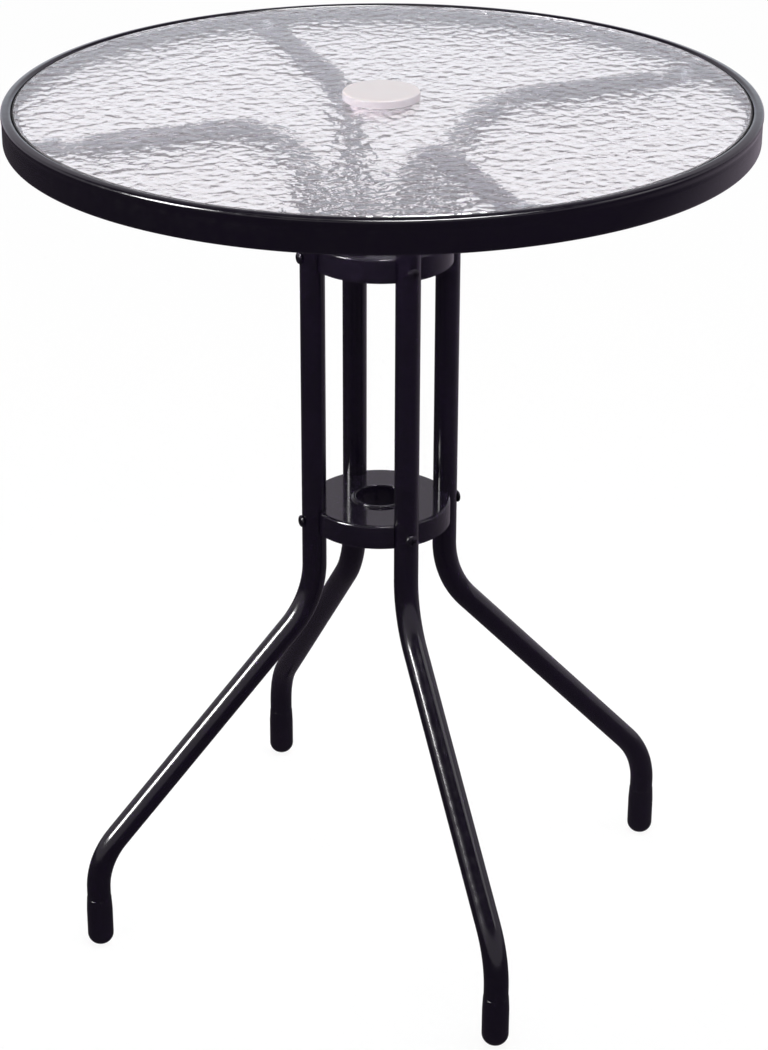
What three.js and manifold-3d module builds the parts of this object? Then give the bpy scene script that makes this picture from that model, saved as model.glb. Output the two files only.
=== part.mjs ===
// A round umbrella table: a patterned glass top, a rolled steel rim, four bent tube legs and two hubs.
// Lengths are in millimetres. +Z is up, and the origin is on the floor at the table's centre line.
// The legs stand on the X and Y axes: right is +X, back is +Y, left is -X and front is -Y.

import * as THREE from "three";
import { LoftGeometry } from "three/addons/geometries/LoftGeometry.js";
import { mergeVertices } from "three/addons/utils/BufferGeometryUtils.js";
import Module from "manifold-3d";

const wasm = await Module();
wasm.setup();

// Overall sizes
const topDiameter = 600;
const tableHeight = 730;
const fitGap = 0.3; // between pieces that touch each other on the real table
const cutOverrun = 3; // how far a cutter runs past the face it leaves

// Rim: one strip of sheet steel, rolled to a lip, a ledge for the glass and a deep outer wall
const rimSheet = 1.2;
const rimDepth = 28;
const lipWidth = 8.6;
const lipBevel = 1.4;
const lipFace = 3; // height of the lip's upright outer face
const lipOverhang = 1.8; // lip beyond the wall's face
const grooveInset = 1; // groove under the lip, behind the wall's face
const grooveSlope = 2.6;
const grooveHeight = 2;
const grooveRise = 1.6;
const rimHem = 5; // lower edge, turned inwards
const ledgeWidth = 4.2;
const ledgeHemGap = 1.2; // between the ledge's turned edge and the bracket under it

// Glass top and its gasket
const glassThickness = 5;
const glassArris = 0.6; // ground corner of the glass
const glassHoleDiameter = 50;
const lipProud = 1.5; // lip above the glass
const gasketBase = 1;
const gasketSide = 0.9;
const gasketDrop = 0.6; // gasket's upper edge below the top of the glass

// Plug in the umbrella hole
const plugCapDiameter = 62;
const plugCapEdge = 5.6;
const plugCapRise = 1.4;
const plugCapWall = 2.6; // thickness of the cap at its middle
const plugBarrelDepth = 14;
const plugBarrelGap = 0.9;
const plugWall = 2;
const plugBead = 0.4;
const plugBeadHeight = 2.4;

// Legs: each one tube, with three bends in one upright plane and a flattened upper end
const sides = ["right", "back", "left", "front"]; // in turn from +X
const tubeDiameter = 20.5;
const tubeWall = 1.2;
const postOffset = 59.3; // table's centre line to the post's centre line
const footInset = 40; // rim's outer edge to the foot's centre line
const kneeHeight = 299; // where the centre lines of the post and the slope cross
const ankleRise = 36; // from the cap's mouth to where the centre lines of the foot and the slope cross
const kneeBend = 85;
const ankleBend = 70;
const shoulderBend = 72;
const runClearance = 2.2; // between the upper run of the tube and the glass
const tongueLength = 36;
const tongueThickness = 4.2;
const swageLength = 24; // from the round tube to the flat tongue
const swageShares = [0, 0.5, 1]; // how flat the tube is at even steps along the swage

// Foot caps
const capHeight = 46;
const capWall = 0.8;
const capFloor = 7.5; // above the dome, where the wall is at its full radius
const capGap = 0.15;
const capDome = 8;
const capFlatDiameter = 10;
const capMouthBevel = 0.4;

// Brackets under the ledge, which hold the legs' tongues
const bracketPlate = 2.5;
const bracketWidth = 30;
const bracketReach = 36;

// Bolts and nuts through tongues and brackets
const boltDiameter = 6;
const boltFlats = 10;
const boltHeadHeight = 4;
const nutHeight = 5;
const boltEnd = 0.8; // thread beyond the nut
const boltInset = 26; // bolt's axis to the rim's wall

// Hubs: moulded discs with a skirt, seats for the tubes and a collar for the umbrella's pole
const lowerHubRise = 73; // from the knee to the middle of the hub's skirt
const upperHubDrop = 125.5; // from the top of the table to the middle of the hub's skirt
const hubDepth = 20.5;
const hubWall = 3;
const hubEdge = 2.4; // rounded upper edge
const poleBore = 41;
const collarWall = 2.8;
const collarLip = 2; // collar above the hub's face
const ribThickness = 2.4;
const ribInset = 3; // ribs and bosses end this far above the skirt's lower edge
const bossWidth = 11;
const bossLength = 15;

// Screws through tubes and hubs
const screwDiameter = 6;
const screwHeadDiameter = 10;
const screwHeadHeight = 3;
const screwBrimHeight = 0.75; // upright edge of the head, under its dome
const screwTipGap = 1.5; // tip of the screw to the end of its hole

// Facets
const ringSegments = 48;
const hubSegments = 32;
const seatSides = 16;
const tubeSides = 12;
const smallSides = 10;
const shortBendSteps = 3;
const longBendSteps = 5;
const edgeSteps = 2;
const hexSides = 6;

// Places that follow from the sizes above
const topRadius = topDiameter / 2;
const tubeRadius = tubeDiameter / 2;
const wallRadius = topRadius - lipOverhang;
const wallInner = wallRadius - rimSheet;
const seatRadius = topRadius - lipWidth;
const glassRadius = seatRadius - gasketSide - 2 * fitGap;
const glassTop = tableHeight - lipProud;
const glassBottom = glassTop - glassThickness;
const ledgeTop = glassBottom - gasketBase - 2 * fitGap;
const rimBottom = tableHeight - rimDepth;
const runHeight = glassBottom - runClearance - tubeRadius;
const tongueTop = runHeight + tongueThickness / 2;
const bracketTop = tongueTop + fitGap + bracketPlate;
const flangeRadius = wallInner - fitGap - bracketPlate;
const tongueTip = flangeRadius - 2 * fitGap;
const boltRadius = wallInner - boltInset;
const footOffset = topRadius - footInset;
const ankleHeight = capHeight + ankleRise;
const lowerHubHeight = kneeHeight + lowerHubRise;
const upperHubHeight = tableHeight - upperHubDrop;
const hubRadius = postOffset; // a hub's edge runs through the posts, so each tube lies half sunk in it
const tubeSeatRadius = tubeRadius + fitGap;
const screwHoleRadius = screwDiameter / 2 + fitGap;
const boltHoleRadius = boltDiameter / 2 + fitGap;
const bossEnd = hubRadius - tubeSeatRadius - hubWall - bossLength;

const finishes = {
  frame: { color: 0x17141a, roughness: 0.32, metalness: 0.1 },
  hub: { color: 0x141217, roughness: 0.22, metalness: 0 },
  glass: { color: 0xe3e8e8, roughness: 0.1, metalness: 0, transparent: true, opacity: 0.45 },
  gasket: { color: 0x101012, roughness: 0.7, metalness: 0 },
  plug: { color: 0xefe4df, roughness: 0.45, metalness: 0 },
  cap: { color: 0x161418, roughness: 0.5, metalness: 0 },
  screw: { color: 0x1c1a1f, roughness: 0.3, metalness: 0.6 },
  zinc: { color: 0xb6b9bd, roughness: 0.35, metalness: 0.9 },
};

// A closed geometry as a solid that can be joined and cut.
function solid(geometry) {
  const bare = new THREE.BufferGeometry();
  bare.setAttribute("position", geometry.getAttribute("position"));
  bare.setIndex(geometry.getIndex());
  const merged = mergeVertices(bare);
  return new wasm.Manifold(
    new wasm.Mesh({
      numProp: 3,
      vertProperties: merged.attributes.position.array,
      triVerts: new Uint32Array(merged.index.array),
    }),
  );
}

// A solid as a geometry for a mesh.
function geometryOf(body) {
  const { vertProperties, triVerts } = body.getMesh();
  const geometry = new THREE.BufferGeometry();
  geometry.setAttribute("position", new THREE.BufferAttribute(vertProperties, 3));
  geometry.setIndex(new THREE.BufferAttribute(triVerts, 1));
  const faceted = geometry.toNonIndexed();
  faceted.computeVertexNormals();
  return faceted;
}

// A solid without each of a list of others.
function cut(body, cutters) {
  return cutters.reduce((rest, cutter) => rest.subtract(cutter), body);
}

// A profile of [radius, height] points turned round the Z axis.
function turned(profile, segments) {
  const points = profile.map(([radius, height]) => new THREE.Vector2(radius, height));
  return new THREE.LatheGeometry(points, segments).rotateX(Math.PI / 2);
}

// An upright round bar.
function bar(radius, bottom, top, facets) {
  const geometry = new THREE.CylinderGeometry(radius, radius, top - bottom, facets);
  return geometry.rotateX(Math.PI / 2).translate(0, 0, (bottom + top) / 2);
}

// A round bar along X at a height.
function crossBar(radius, from, to, height, facets) {
  const geometry = new THREE.CylinderGeometry(radius, radius, to - from, facets);
  return geometry.rotateZ(-Math.PI / 2).translate((from + to) / 2, 0, height);
}

// One copy of a solid for each leg, turned from the leg's side by a share of the angle between two legs.
function perLeg(body, turnShare) {
  const step = 360 / sides.length;
  return sides.map((_, i) => body.rotate([0, 0, (i + turnShare) * step]));
}

// Points of a quarter ellipse, from one end of its first half axis to the end of the other.
function quarter(centre, across, up, firstDegrees, steps) {
  return Array.from({ length: steps + 1 }, (_, i) => {
    const angle = THREE.MathUtils.degToRad(firstDegrees + (90 * i) / steps);
    return [centre[0] + across * Math.cos(angle), centre[1] + up * Math.sin(angle)];
  });
}

// The closed outline of a bent strip, from the line through the middle of its thickness.
function stripOutline(line, thickness) {
  const points = line.map(([x, y]) => new THREE.Vector2(x, y));
  const offsets = points.map((point, i) => {
    const before = points[Math.max(i - 1, 0)];
    const after = points[Math.min(i + 1, points.length - 1)];
    const inward = point.clone().sub(i ? before : point).normalize();
    const outward = after.clone().sub(point).normalize();
    const along = inward.clone().add(outward).normalize();
    const straight = i && i < points.length - 1 ? inward : along;
    const reach = thickness / 2 / along.dot(straight);
    return new THREE.Vector2(-along.y, along.x).multiplyScalar(reach);
  });
  const left = points.map((point, i) => point.clone().add(offsets[i]));
  const right = points.map((point, i) => point.clone().sub(offsets[i]));
  return [...right, ...left.reverse(), right[0]].map(({ x, y }) => [x, y]);
}

// Rim: from the ledge's turned edge, up behind the glass, over the lip and down the wall to its hem.
function rimGeometry() {
  const half = rimSheet / 2;
  const seat = seatRadius + half;
  const crest = tableHeight - half;
  const lip = topRadius - half;
  const wall = wallRadius - half;
  const groove = wall - grooveInset;
  const ledge = ledgeTop - half;
  const ledgeEdge = seatRadius - ledgeWidth;
  const lipFoot = crest - lipBevel - lipFace;
  const grooveTop = lipFoot - grooveSlope;
  const grooveFoot = grooveTop - grooveHeight;
  const line = [
    [ledgeEdge, bracketTop + ledgeHemGap],
    [ledgeEdge, ledge],
    [seat, ledge],
    [seat, crest - lipBevel],
    [seat + lipBevel, crest],
    [lip - lipBevel, crest],
    [lip, crest - lipBevel],
    [lip, lipFoot],
    [groove, grooveTop],
    [groove, grooveFoot],
    [wall, grooveFoot - grooveRise],
    [wall, rimBottom + half],
    [wall - rimHem, rimBottom + half],
  ];
  return turned(stripOutline(line, rimSheet), ringSegments);
}

// Glass: a disc with a hole for the pole and ground corners.
// A ring of edges round the plug's cap parts the free face of the glass from the covered one.
function glassGeometry() {
  const hole = glassHoleDiameter / 2;
  const covered = plugCapDiameter / 2 + fitGap;
  const profile = [
    [hole, glassBottom + glassArris],
    [hole + glassArris, glassBottom],
    [glassRadius - glassArris, glassBottom],
    [glassRadius, glassBottom + glassArris],
    [glassRadius, glassTop - glassArris],
    [glassRadius - glassArris, glassTop],
    [covered, glassTop],
    [hole + glassArris, glassTop],
    [hole, glassTop - glassArris],
    [hole, glassBottom + glassArris],
  ];
  return turned(profile, ringSegments);
}

// Gasket: a strip that lies on the ledge and turns up round the edge of the glass.
function gasketGeometry() {
  const inner = seatRadius - ledgeWidth + rimSheet / 2;
  const outer = seatRadius - fitGap;
  const bottom = ledgeTop + fitGap;
  const profile = [
    [inner, bottom],
    [outer, bottom],
    [outer, glassTop - gasketDrop],
    [outer - gasketSide, glassTop - gasketDrop],
    [outer - gasketSide, bottom + gasketBase],
    [inner, bottom + gasketBase],
    [inner, bottom],
  ];
  return turned(profile, ringSegments);
}

// Plug: a thick cap with a low dome on a hollow barrel, with one bead that grips the hole.
function plugGeometry() {
  const barrel = glassHoleDiameter / 2 - plugBarrelGap;
  const bore = barrel - plugWall;
  const rim = plugCapDiameter / 2;
  const seat = glassTop + fitGap;
  const foot = glassTop - plugBarrelDepth;
  const beadFoot = glassBottom - plugBeadHeight;
  const ceiling = seat + plugCapEdge + plugCapRise - plugCapWall;
  const dome = quarter([0, seat + plugCapEdge], rim, plugCapRise, 0, shortBendSteps);
  const profile = [
    [0, ceiling],
    [bore, ceiling],
    [bore, foot],
    [barrel, foot],
    [barrel, beadFoot],
    [barrel + plugBead, (beadFoot + glassBottom) / 2],
    [barrel, glassBottom],
    [barrel, seat],
    [rim, seat],
    ...dome,
  ];
  return turned(profile, hubSegments);
}

// Stations along a line of straight runs joined by arcs: each has a place [x, z] and a direction.
function bentLine(corners, radii, steps) {
  const points = corners.map(([x, z]) => new THREE.Vector2(x, z));
  const stations = [{ at: points[0], angle: points[1].clone().sub(points[0]).angle() }];
  for (let i = 1; i < points.length - 1; i++) {
    const arriving = points[i].clone().sub(points[i - 1]).normalize();
    const leaving = points[i + 1].clone().sub(points[i]).normalize();
    const turn = Math.atan2(arriving.cross(leaving), arriving.dot(leaving));
    const tangent = radii[i - 1] * Math.tan(Math.abs(turn) / 2);
    const start = points[i].clone().addScaledVector(arriving, -tangent);
    const toCentre = new THREE.Vector2(-arriving.y, arriving.x).multiplyScalar(Math.sign(turn));
    const centre = start.clone().addScaledVector(toCentre, radii[i - 1]);
    for (let step = 0; step <= steps[i - 1]; step++) {
      const swept = (turn * step) / steps[i - 1];
      const at = start.clone().rotateAround(centre, swept);
      stations.push({ at, angle: arriving.angle() + swept });
    }
  }
  return stations;
}

// The section of the tube at a station: round where flat is 0, and a flat tongue where it is 1.
// inset is how far the section lies inside the tube's outer face.
function tubeSection({ at, angle, flat = 0 }, inset) {
  const mean = tubeDiameter - tubeWall;
  const meanTongue = tongueThickness - tubeWall;
  const tongueWidth = meanTongue + (Math.PI * (mean - meanTongue)) / 2 + tubeWall;
  const radius = THREE.MathUtils.lerp(tubeRadius, tongueThickness / 2, flat) - inset;
  const flatRun = (flat * (tongueWidth - tongueThickness)) / 2;
  return Array.from({ length: tubeSides }, (_, i) => {
    const turn = (2 * Math.PI * i) / tubeSides;
    const cosine = Math.cos(turn);
    const side = Math.abs(cosine) < Number.EPSILON ? 0 : Math.sign(cosine);
    const across = radius * cosine + flatRun * side;
    const up = radius * Math.sin(turn);
    return new THREE.Vector3(at.x - up * Math.sin(angle), across, at.y + up * Math.cos(angle));
  });
}

// Leg on the +X side, from the foot up to the tongue.
function legGeometry() {
  const foot = capFloor + fitGap;
  const swageEnd = tongueTip - tongueLength;
  const swageStart = swageEnd - swageLength;
  const corners = [
    [footOffset, foot],
    [footOffset, ankleHeight],
    [postOffset, kneeHeight],
    [postOffset, runHeight],
    [swageStart, runHeight],
  ];
  const bends = [ankleBend, kneeBend, shoulderBend];
  const bent = bentLine(corners, bends, [shortBendSteps, shortBendSteps, longBendSteps]);
  const swage = swageShares.map((flat, i) => {
    const x = THREE.MathUtils.lerp(swageStart, swageEnd, i / (swageShares.length - 1));
    return { at: new THREE.Vector2(x, runHeight), angle: 0, flat };
  });
  const tip = { ...swage.at(-1), at: new THREE.Vector2(tongueTip, runHeight) };
  const outside = [...bent, ...swage, tip];
  const first = { ...outside[0], at: new THREE.Vector2(footOffset, foot - cutOverrun) };
  const last = { ...tip, at: new THREE.Vector2(tongueTip + cutOverrun, runHeight) };
  const inside = [first, ...outside.slice(1, -1), last];
  const caps = { capStart: true, capEnd: true };
  const skin = new LoftGeometry(outside.map((station) => tubeSection(station, 0)), caps);
  const bore = new LoftGeometry(inside.map((station) => tubeSection(station, tubeWall)), caps);
  const reach = tubeRadius + cutOverrun;
  const screwHoles = [lowerHubHeight, upperHubHeight].map((height) =>
    solid(crossBar(screwHoleRadius, postOffset - reach, postOffset + reach, height, smallSides)),
  );
  const boltHole = bar(boltHoleRadius, runHeight - reach, runHeight + reach, smallSides);
  const boltCutter = solid(boltHole.translate(boltRadius, 0, 0));
  return geometryOf(cut(solid(skin), [solid(bore), ...screwHoles, boltCutter]));
}

// Foot cap at the origin: a cup with a domed floor, flat where it stands.
function capGeometry() {
  const bore = tubeRadius + capGap;
  const outer = bore + capWall;
  const flat = capFlatDiameter / 2;
  const dome = quarter([flat, capDome], outer - flat, capDome, -90, shortBendSteps);
  const profile = [
    [0, 0],
    ...dome,
    [outer, capHeight - capMouthBevel],
    [outer - capMouthBevel, capHeight],
    [bore, capHeight],
    [bore, capFloor],
    [0, capFloor],
  ];
  return turned(profile, tubeSides);
}

// Rib of a hub along X, from one radius to another.
function ribGeometry(from, to, foot, top) {
  const rib = new THREE.BoxGeometry(to - from, ribThickness, top - foot);
  return rib.translate((from + to) / 2, 0, (foot + top) / 2);
}

// Hub with its skirt's middle at height zero.
function hubGeometry() {
  const top = hubDepth / 2;
  const bottom = -hubDepth / 2;
  const ceiling = top - hubWall;
  const ribFoot = bottom + ribInset;
  const collar = poleBore / 2 + collarWall;
  const edge = quarter([hubRadius - hubEdge, top - hubEdge], hubEdge, hubEdge, 0, edgeSteps);
  const disc = solid(turned([[0, bottom], [hubRadius, bottom], ...edge, [0, top]], hubSegments));
  const seatCutter = bar(tubeSeatRadius, bottom - cutOverrun, top + cutOverrun, seatSides);
  const tubeSeats = perLeg(solid(seatCutter.translate(hubRadius, 0, 0)), 0);
  const seatWall = bar(tubeSeatRadius + hubWall, bottom - cutOverrun, top, seatSides);
  const seatWalls = perLeg(solid(seatWall.translate(hubRadius, 0, 0)), 0);
  const inner = hubRadius - hubWall;
  const bossReach = hubRadius - tubeSeatRadius - bossEnd;
  const longRib = ribGeometry(poleBore / 2, inner, ribFoot, top);
  const shortRib = ribGeometry(poleBore / 2, bossEnd + bossReach / 2, ribFoot, top);
  const ribs = [...perLeg(solid(longRib), 1 / 2), ...perLeg(solid(shortRib), 0)];
  const bossRadius = bossWidth / 2;
  const bossLine = new THREE.Shape();
  bossLine.moveTo(-bossRadius, top);
  bossLine.lineTo(-bossRadius, 0);
  bossLine.absarc(0, 0, bossRadius, Math.PI, 2 * Math.PI, false);
  bossLine.lineTo(bossRadius, top);
  const boss = new THREE.ExtrudeGeometry(bossLine, {
    depth: bossReach,
    bevelEnabled: false,
    curveSegments: longBendSteps,
  });
  boss.rotateX(Math.PI / 2).rotateZ(Math.PI / 2).translate(bossEnd, 0, 0);
  const bosses = perLeg(solid(boss), 0);
  const chamber = solid(bar(inner, bottom - cutOverrun, ceiling, hubSegments));
  const collarBar = solid(bar(collar, bottom - 2 * cutOverrun, top + collarLip, hubSegments));
  const hollow = cut(chamber, [...seatWalls, ...ribs, ...bosses, collarBar]);
  const collarTop = solid(bar(collar, ceiling, top + collarLip, hubSegments));
  const boreTop = top + collarLip + cutOverrun;
  const bore = solid(bar(poleBore / 2, bottom - cutOverrun, boreTop, hubSegments));
  const screwHole = crossBar(screwHoleRadius, bossEnd + hubWall, hubRadius, 0, smallSides);
  const screwHoles = perLeg(solid(screwHole), 0);
  return geometryOf(cut(disc.add(collarTop), [hollow, ...tubeSeats, bore, ...screwHoles]));
}

// Hub screw along X at height zero, with its head against the +X post.
function screwGeometry() {
  const seat = postOffset + tubeRadius + fitGap;
  const tip = bossEnd + hubWall + screwTipGap;
  const radius = screwDiameter / 2;
  const head = screwHeadDiameter / 2;
  const domeHeight = screwHeadHeight - screwBrimHeight;
  const dome = quarter([0, seat + screwBrimHeight], head, domeHeight, 0, edgeSteps);
  const profile = [[0, tip], [radius, tip], [radius, seat], [head, seat], ...dome];
  return turned(profile, smallSides).rotateY(Math.PI / 2);
}

// Bracket on the +X side: a folded plate with one leg against the wall and one over the tongue.
function bracketGeometry() {
  const beyond = wallInner + cutOverrun;
  const inner = wallInner - bracketReach;
  const low = rimBottom + rimSheet + fitGap;
  const under = bracketTop - bracketPlate;
  const fold = new THREE.Shape([
    new THREE.Vector2(inner, under),
    new THREE.Vector2(flangeRadius, under),
    new THREE.Vector2(flangeRadius, low),
    new THREE.Vector2(beyond, low),
    new THREE.Vector2(beyond, bracketTop),
    new THREE.Vector2(inner, bracketTop),
  ]);
  const plate = new THREE.ExtrudeGeometry(fold, { depth: bracketWidth, bevelEnabled: false });
  plate.rotateX(Math.PI / 2).translate(0, bracketWidth / 2, 0);
  const above = bracketTop + cutOverrun;
  const room = solid(bar(wallInner - fitGap, low - cutOverrun, above, ringSegments));
  const hole = bar(boltHoleRadius, under - cutOverrun, above, smallSides);
  const trimmed = solid(plate).intersect(room);
  return geometryOf(cut(trimmed, [solid(hole.translate(boltRadius, 0, 0))]));
}

// Hexagon bolt on the Z axis, with its head under the tongue.
function boltGeometry() {
  const seat = runHeight - tongueThickness / 2 - fitGap;
  const end = bracketTop + fitGap + nutHeight + boltEnd;
  const corner = boltFlats / Math.sqrt(3);
  const head = solid(bar(corner, seat - boltHeadHeight, seat, hexSides));
  const shank = solid(bar(boltDiameter / 2, seat - boltHeadHeight / 2, end, smallSides));
  return geometryOf(head.add(shank));
}

// Hexagon nut on the Z axis, on top of the bracket.
function nutGeometry() {
  const bottom = bracketTop + fitGap;
  const corner = boltFlats / Math.sqrt(3);
  const block = solid(bar(corner, bottom, bottom + nutHeight, hexSides));
  const above = bottom + nutHeight + cutOverrun;
  const bore = bar(boltHoleRadius, bottom - cutOverrun, above, smallSides);
  return geometryOf(cut(block, [solid(bore)]));
}

// A named mesh with one of the finishes.
function piece(name, geometry, finish) {
  const mesh = new THREE.Mesh(geometry, new THREE.MeshStandardMaterial(finishes[finish]));
  mesh.name = name;
  return mesh;
}

const table = new THREE.Group();
table.add(piece("rim_band", rimGeometry(), "frame"));
table.add(piece("glass_gasket", gasketGeometry(), "gasket"));
table.add(piece("glass_top", glassGeometry(), "glass"));
table.add(piece("umbrella_hole_plug", plugGeometry(), "plug"));

const hubs = { lower: lowerHubHeight, upper: upperHubHeight };
const hubShape = hubGeometry();
for (const [level, height] of Object.entries(hubs)) {
  const hub = piece(level + "_hub", hubShape, "hub");
  hub.position.z = height;
  table.add(hub);
}

const legShape = legGeometry();
const capShape = capGeometry();
const screwShape = screwGeometry();
const bracketShape = bracketGeometry();
const boltShape = boltGeometry();
const nutShape = nutGeometry();
sides.forEach((side, i) => {
  const quadrant = new THREE.Group();
  quadrant.rotation.z = (2 * Math.PI * i) / sides.length;
  quadrant.add(piece(side + "_leg", legShape, "frame"));
  quadrant.add(piece(side + "_rim_bracket", bracketShape, "frame"));
  const cap = piece(side + "_foot_cap", capShape, "cap");
  cap.position.x = footOffset;
  quadrant.add(cap);
  for (const [level, height] of Object.entries(hubs)) {
    const screw = piece(side + "_" + level + "_hub_screw", screwShape, "screw");
    screw.position.z = height;
    quadrant.add(screw);
  }
  const bolt = piece(side + "_rim_bolt", boltShape, "zinc");
  const nut = piece(side + "_rim_nut", nutShape, "zinc");
  bolt.position.x = boltRadius;
  nut.position.x = boltRadius;
  quadrant.add(bolt, nut);
  table.add(quadrant);
});

export default table;
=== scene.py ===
"""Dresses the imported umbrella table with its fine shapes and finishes, and sets it in a plain studio."""

import logging
import math
from collections.abc import Mapping, Sequence
from dataclasses import dataclass
from enum import Enum

import bmesh
import bpy
from mathutils import Matrix, Vector


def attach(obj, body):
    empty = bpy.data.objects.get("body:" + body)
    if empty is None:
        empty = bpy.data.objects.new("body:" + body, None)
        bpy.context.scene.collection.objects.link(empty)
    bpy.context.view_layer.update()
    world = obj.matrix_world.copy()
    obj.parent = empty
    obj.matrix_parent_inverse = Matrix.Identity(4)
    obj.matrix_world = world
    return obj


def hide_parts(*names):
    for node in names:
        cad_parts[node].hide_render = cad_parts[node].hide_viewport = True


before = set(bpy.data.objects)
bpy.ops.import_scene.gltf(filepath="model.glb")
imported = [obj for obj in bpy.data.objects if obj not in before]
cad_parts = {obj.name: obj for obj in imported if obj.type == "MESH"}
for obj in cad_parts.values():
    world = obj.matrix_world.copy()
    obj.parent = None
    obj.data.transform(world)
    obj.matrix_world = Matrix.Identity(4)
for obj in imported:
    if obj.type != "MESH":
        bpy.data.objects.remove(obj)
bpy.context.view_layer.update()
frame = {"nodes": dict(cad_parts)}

MM = 0.001
LOG = logging.getLogger("umbrella_table")

Point = tuple[float, float]
Socket = bpy.types.NodeSocket
Outputs = bpy.types.bpy_prop_collection
NodeTree = bpy.types.NodeTree
Material = bpy.types.Material
Mesh = bpy.types.Mesh
Thing = bpy.types.Object
Corner = bmesh.types.BMVert

NUMBERS = (2, 3)  # the inputs of a Mix node that take the two numbers
COLOURS = (6, 7)  # and those that take the two colours
NOISE_SPAN = (0.3, 0.7)  # between these lies nearly all that a noise gives
CLEAR = 5.0  # mm by which a cutter stands past what it cuts
OVERLAP = 1.0  # mm by which one cutter runs into another, or past a flat face
STRAIGHT = 0.02  # radians under which a line's corner isn't rounded
ROOM = 0.49  # share of a straight that the arc at one of its ends may take
ON_AXIS = 1e-6  # mm under which a radius counts as none
END_STEPS = 6  # straight pieces round a sheet's edge
CREASE = 32.0  # degrees past which an edge stays sharp
SOFT_CREASE = 40.0  # the same for a piece with coarser roundings
ROUND_CREASE = 50.0  # the same for a rolled, extruded or bent piece


class Body(Enum):
    """The bodies that pieces ride on."""

    TABLE = "table"
    PLUG = "plug"


class Side(Enum):
    """The four legs, counted in turn from +X."""

    RIGHT = 0
    BACK = 1
    LEFT = 2
    FRONT = 3

    def node(self, piece: str) -> str:
        """The name of this side's copy of a piece."""
        return f"{self.name.lower()}_{piece}"

    @classmethod
    def nodes(cls, piece: str) -> list[str]:
        """The names of a piece's four copies."""
        return [side.node(piece) for side in cls]


class Level(Enum):
    """The two hubs, each with the height of its skirt's middle in millimetres."""

    LOWER = 372.0
    UPPER = 604.5

    @property
    def node(self) -> str:
        """The hub's name."""
        return f"{self.name.lower()}_hub"


# Node trees


def linear(code: str) -> tuple[float, float, float, float]:
    """Turns an sRGB hex code into the linear colour that a shader takes.

    Args:
        code: The colour as #RRGGBB.

    Returns:
        Red, green and blue, linear, and an alpha of 1.
    """
    shares = [int(code[i : i + 2], 16) / 255 for i in (1, 3, 5)]
    red, green, blue = (s / 12.92 if s <= 0.04045 else ((s + 0.055) / 1.055) ** 2.4 for s in shares)
    return red, green, blue, 1.0


def add_node(
    tree: NodeTree, kind: str, inputs: Mapping[str | int, object] | None = None, **settings: object
) -> Outputs:
    """Adds a node with its settings and links.

    Args:
        tree: The tree that the node goes into.
        kind: The node's type.
        inputs: What each input takes, by its name or number: a socket to link, or a value.
        settings: The node's other settings, by their names.

    Returns:
        The new node's outputs.
    """
    node = tree.nodes.new(kind)
    for name, value in settings.items():
        setattr(node, name, value)
    for key, value in (inputs or {}).items():
        if isinstance(value, Socket):
            tree.links.new(value, node.inputs[key])
        else:
            node.inputs[key].default_value = value
    return node.outputs


def new_material(name: str) -> tuple[Material, NodeTree]:
    """An empty material and its node tree.

    Args:
        name: The finish's name.

    Returns:
        The material and its tree.
    """
    material = bpy.data.materials.new(name)
    material.use_nodes = True
    material.node_tree.nodes.clear()
    return material, material.node_tree


def place(tree: NodeTree) -> Socket:
    """A point on the surface, in metres in the table's own frame."""
    return add_node(tree, "ShaderNodeTexCoord")["Object"]


# Finishes


@dataclass(frozen=True)
class Finish:
    """An opaque finish: a clouded colour, a gloss that varies, and a fine relief. Sizes in millimetres."""

    name: str
    dark: str
    light: str
    smooth: float
    rough: float
    grain: float  # from one hump of the relief to the next
    depth: float  # of the relief
    specular: float = 0.5
    metallic: float = 0.0
    cloud: float = 25.0  # across one cloud of the colour
    cloud_detail: float = 4.0
    grain_detail: float = 2.0

    def colour(self, tree: NodeTree, clouds: Socket) -> Socket:
        """Adds the colour.

        Args:
            tree: The material's tree.
            clouds: The noise that it follows, from the dark colour to the light one.

        Returns:
            The colour.
        """
        ends = {0: clouds, COLOURS[0]: linear(self.dark), COLOURS[1]: linear(self.light)}
        return add_node(tree, "ShaderNodeMix", ends, data_type="RGBA")["Result"]

    def gloss(self, tree: NodeTree, clouds: Socket) -> Socket | float:
        """Adds the gloss.

        Args:
            tree: The material's tree.
            clouds: The noise that it follows, from smooth to rough.

        Returns:
            The roughness.
        """
        low, high = NOISE_SPAN
        span = {0: clouds, 1: low, 2: high, 3: self.smooth, 4: self.rough}
        return add_node(tree, "ShaderNodeMapRange", span)["Result"]

    def depths(self) -> dict[str | int, object]:
        """What the shader takes for the light under the skin."""
        return {}

    def material(self) -> Material:
        """Builds the material."""
        material, tree = new_material(self.name)
        at = place(tree)
        cloud = {"Vector": at, "Scale": 1 / (self.cloud * MM), "Detail": self.cloud_detail}
        clouds = add_node(tree, "ShaderNodeTexNoise", cloud)["Fac"]
        grain = {"Vector": at, "Scale": 1 / (self.grain * MM), "Detail": self.grain_detail}
        relief = add_node(tree, "ShaderNodeTexNoise", grain)["Fac"]
        bump = add_node(tree, "ShaderNodeBump", {"Height": relief, "Distance": self.depth * MM})
        inputs = {
            "Base Color": self.colour(tree, clouds),
            "Roughness": self.gloss(tree, clouds),
            "Metallic": self.metallic,
            "Specular IOR Level": self.specular,
            "Normal": bump["Normal"],
            **self.depths(),
        }
        shader = add_node(tree, "ShaderNodeBsdfPrincipled", inputs)
        add_node(tree, "ShaderNodeOutputMaterial", {"Surface": shader["BSDF"]})
        return material


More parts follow.
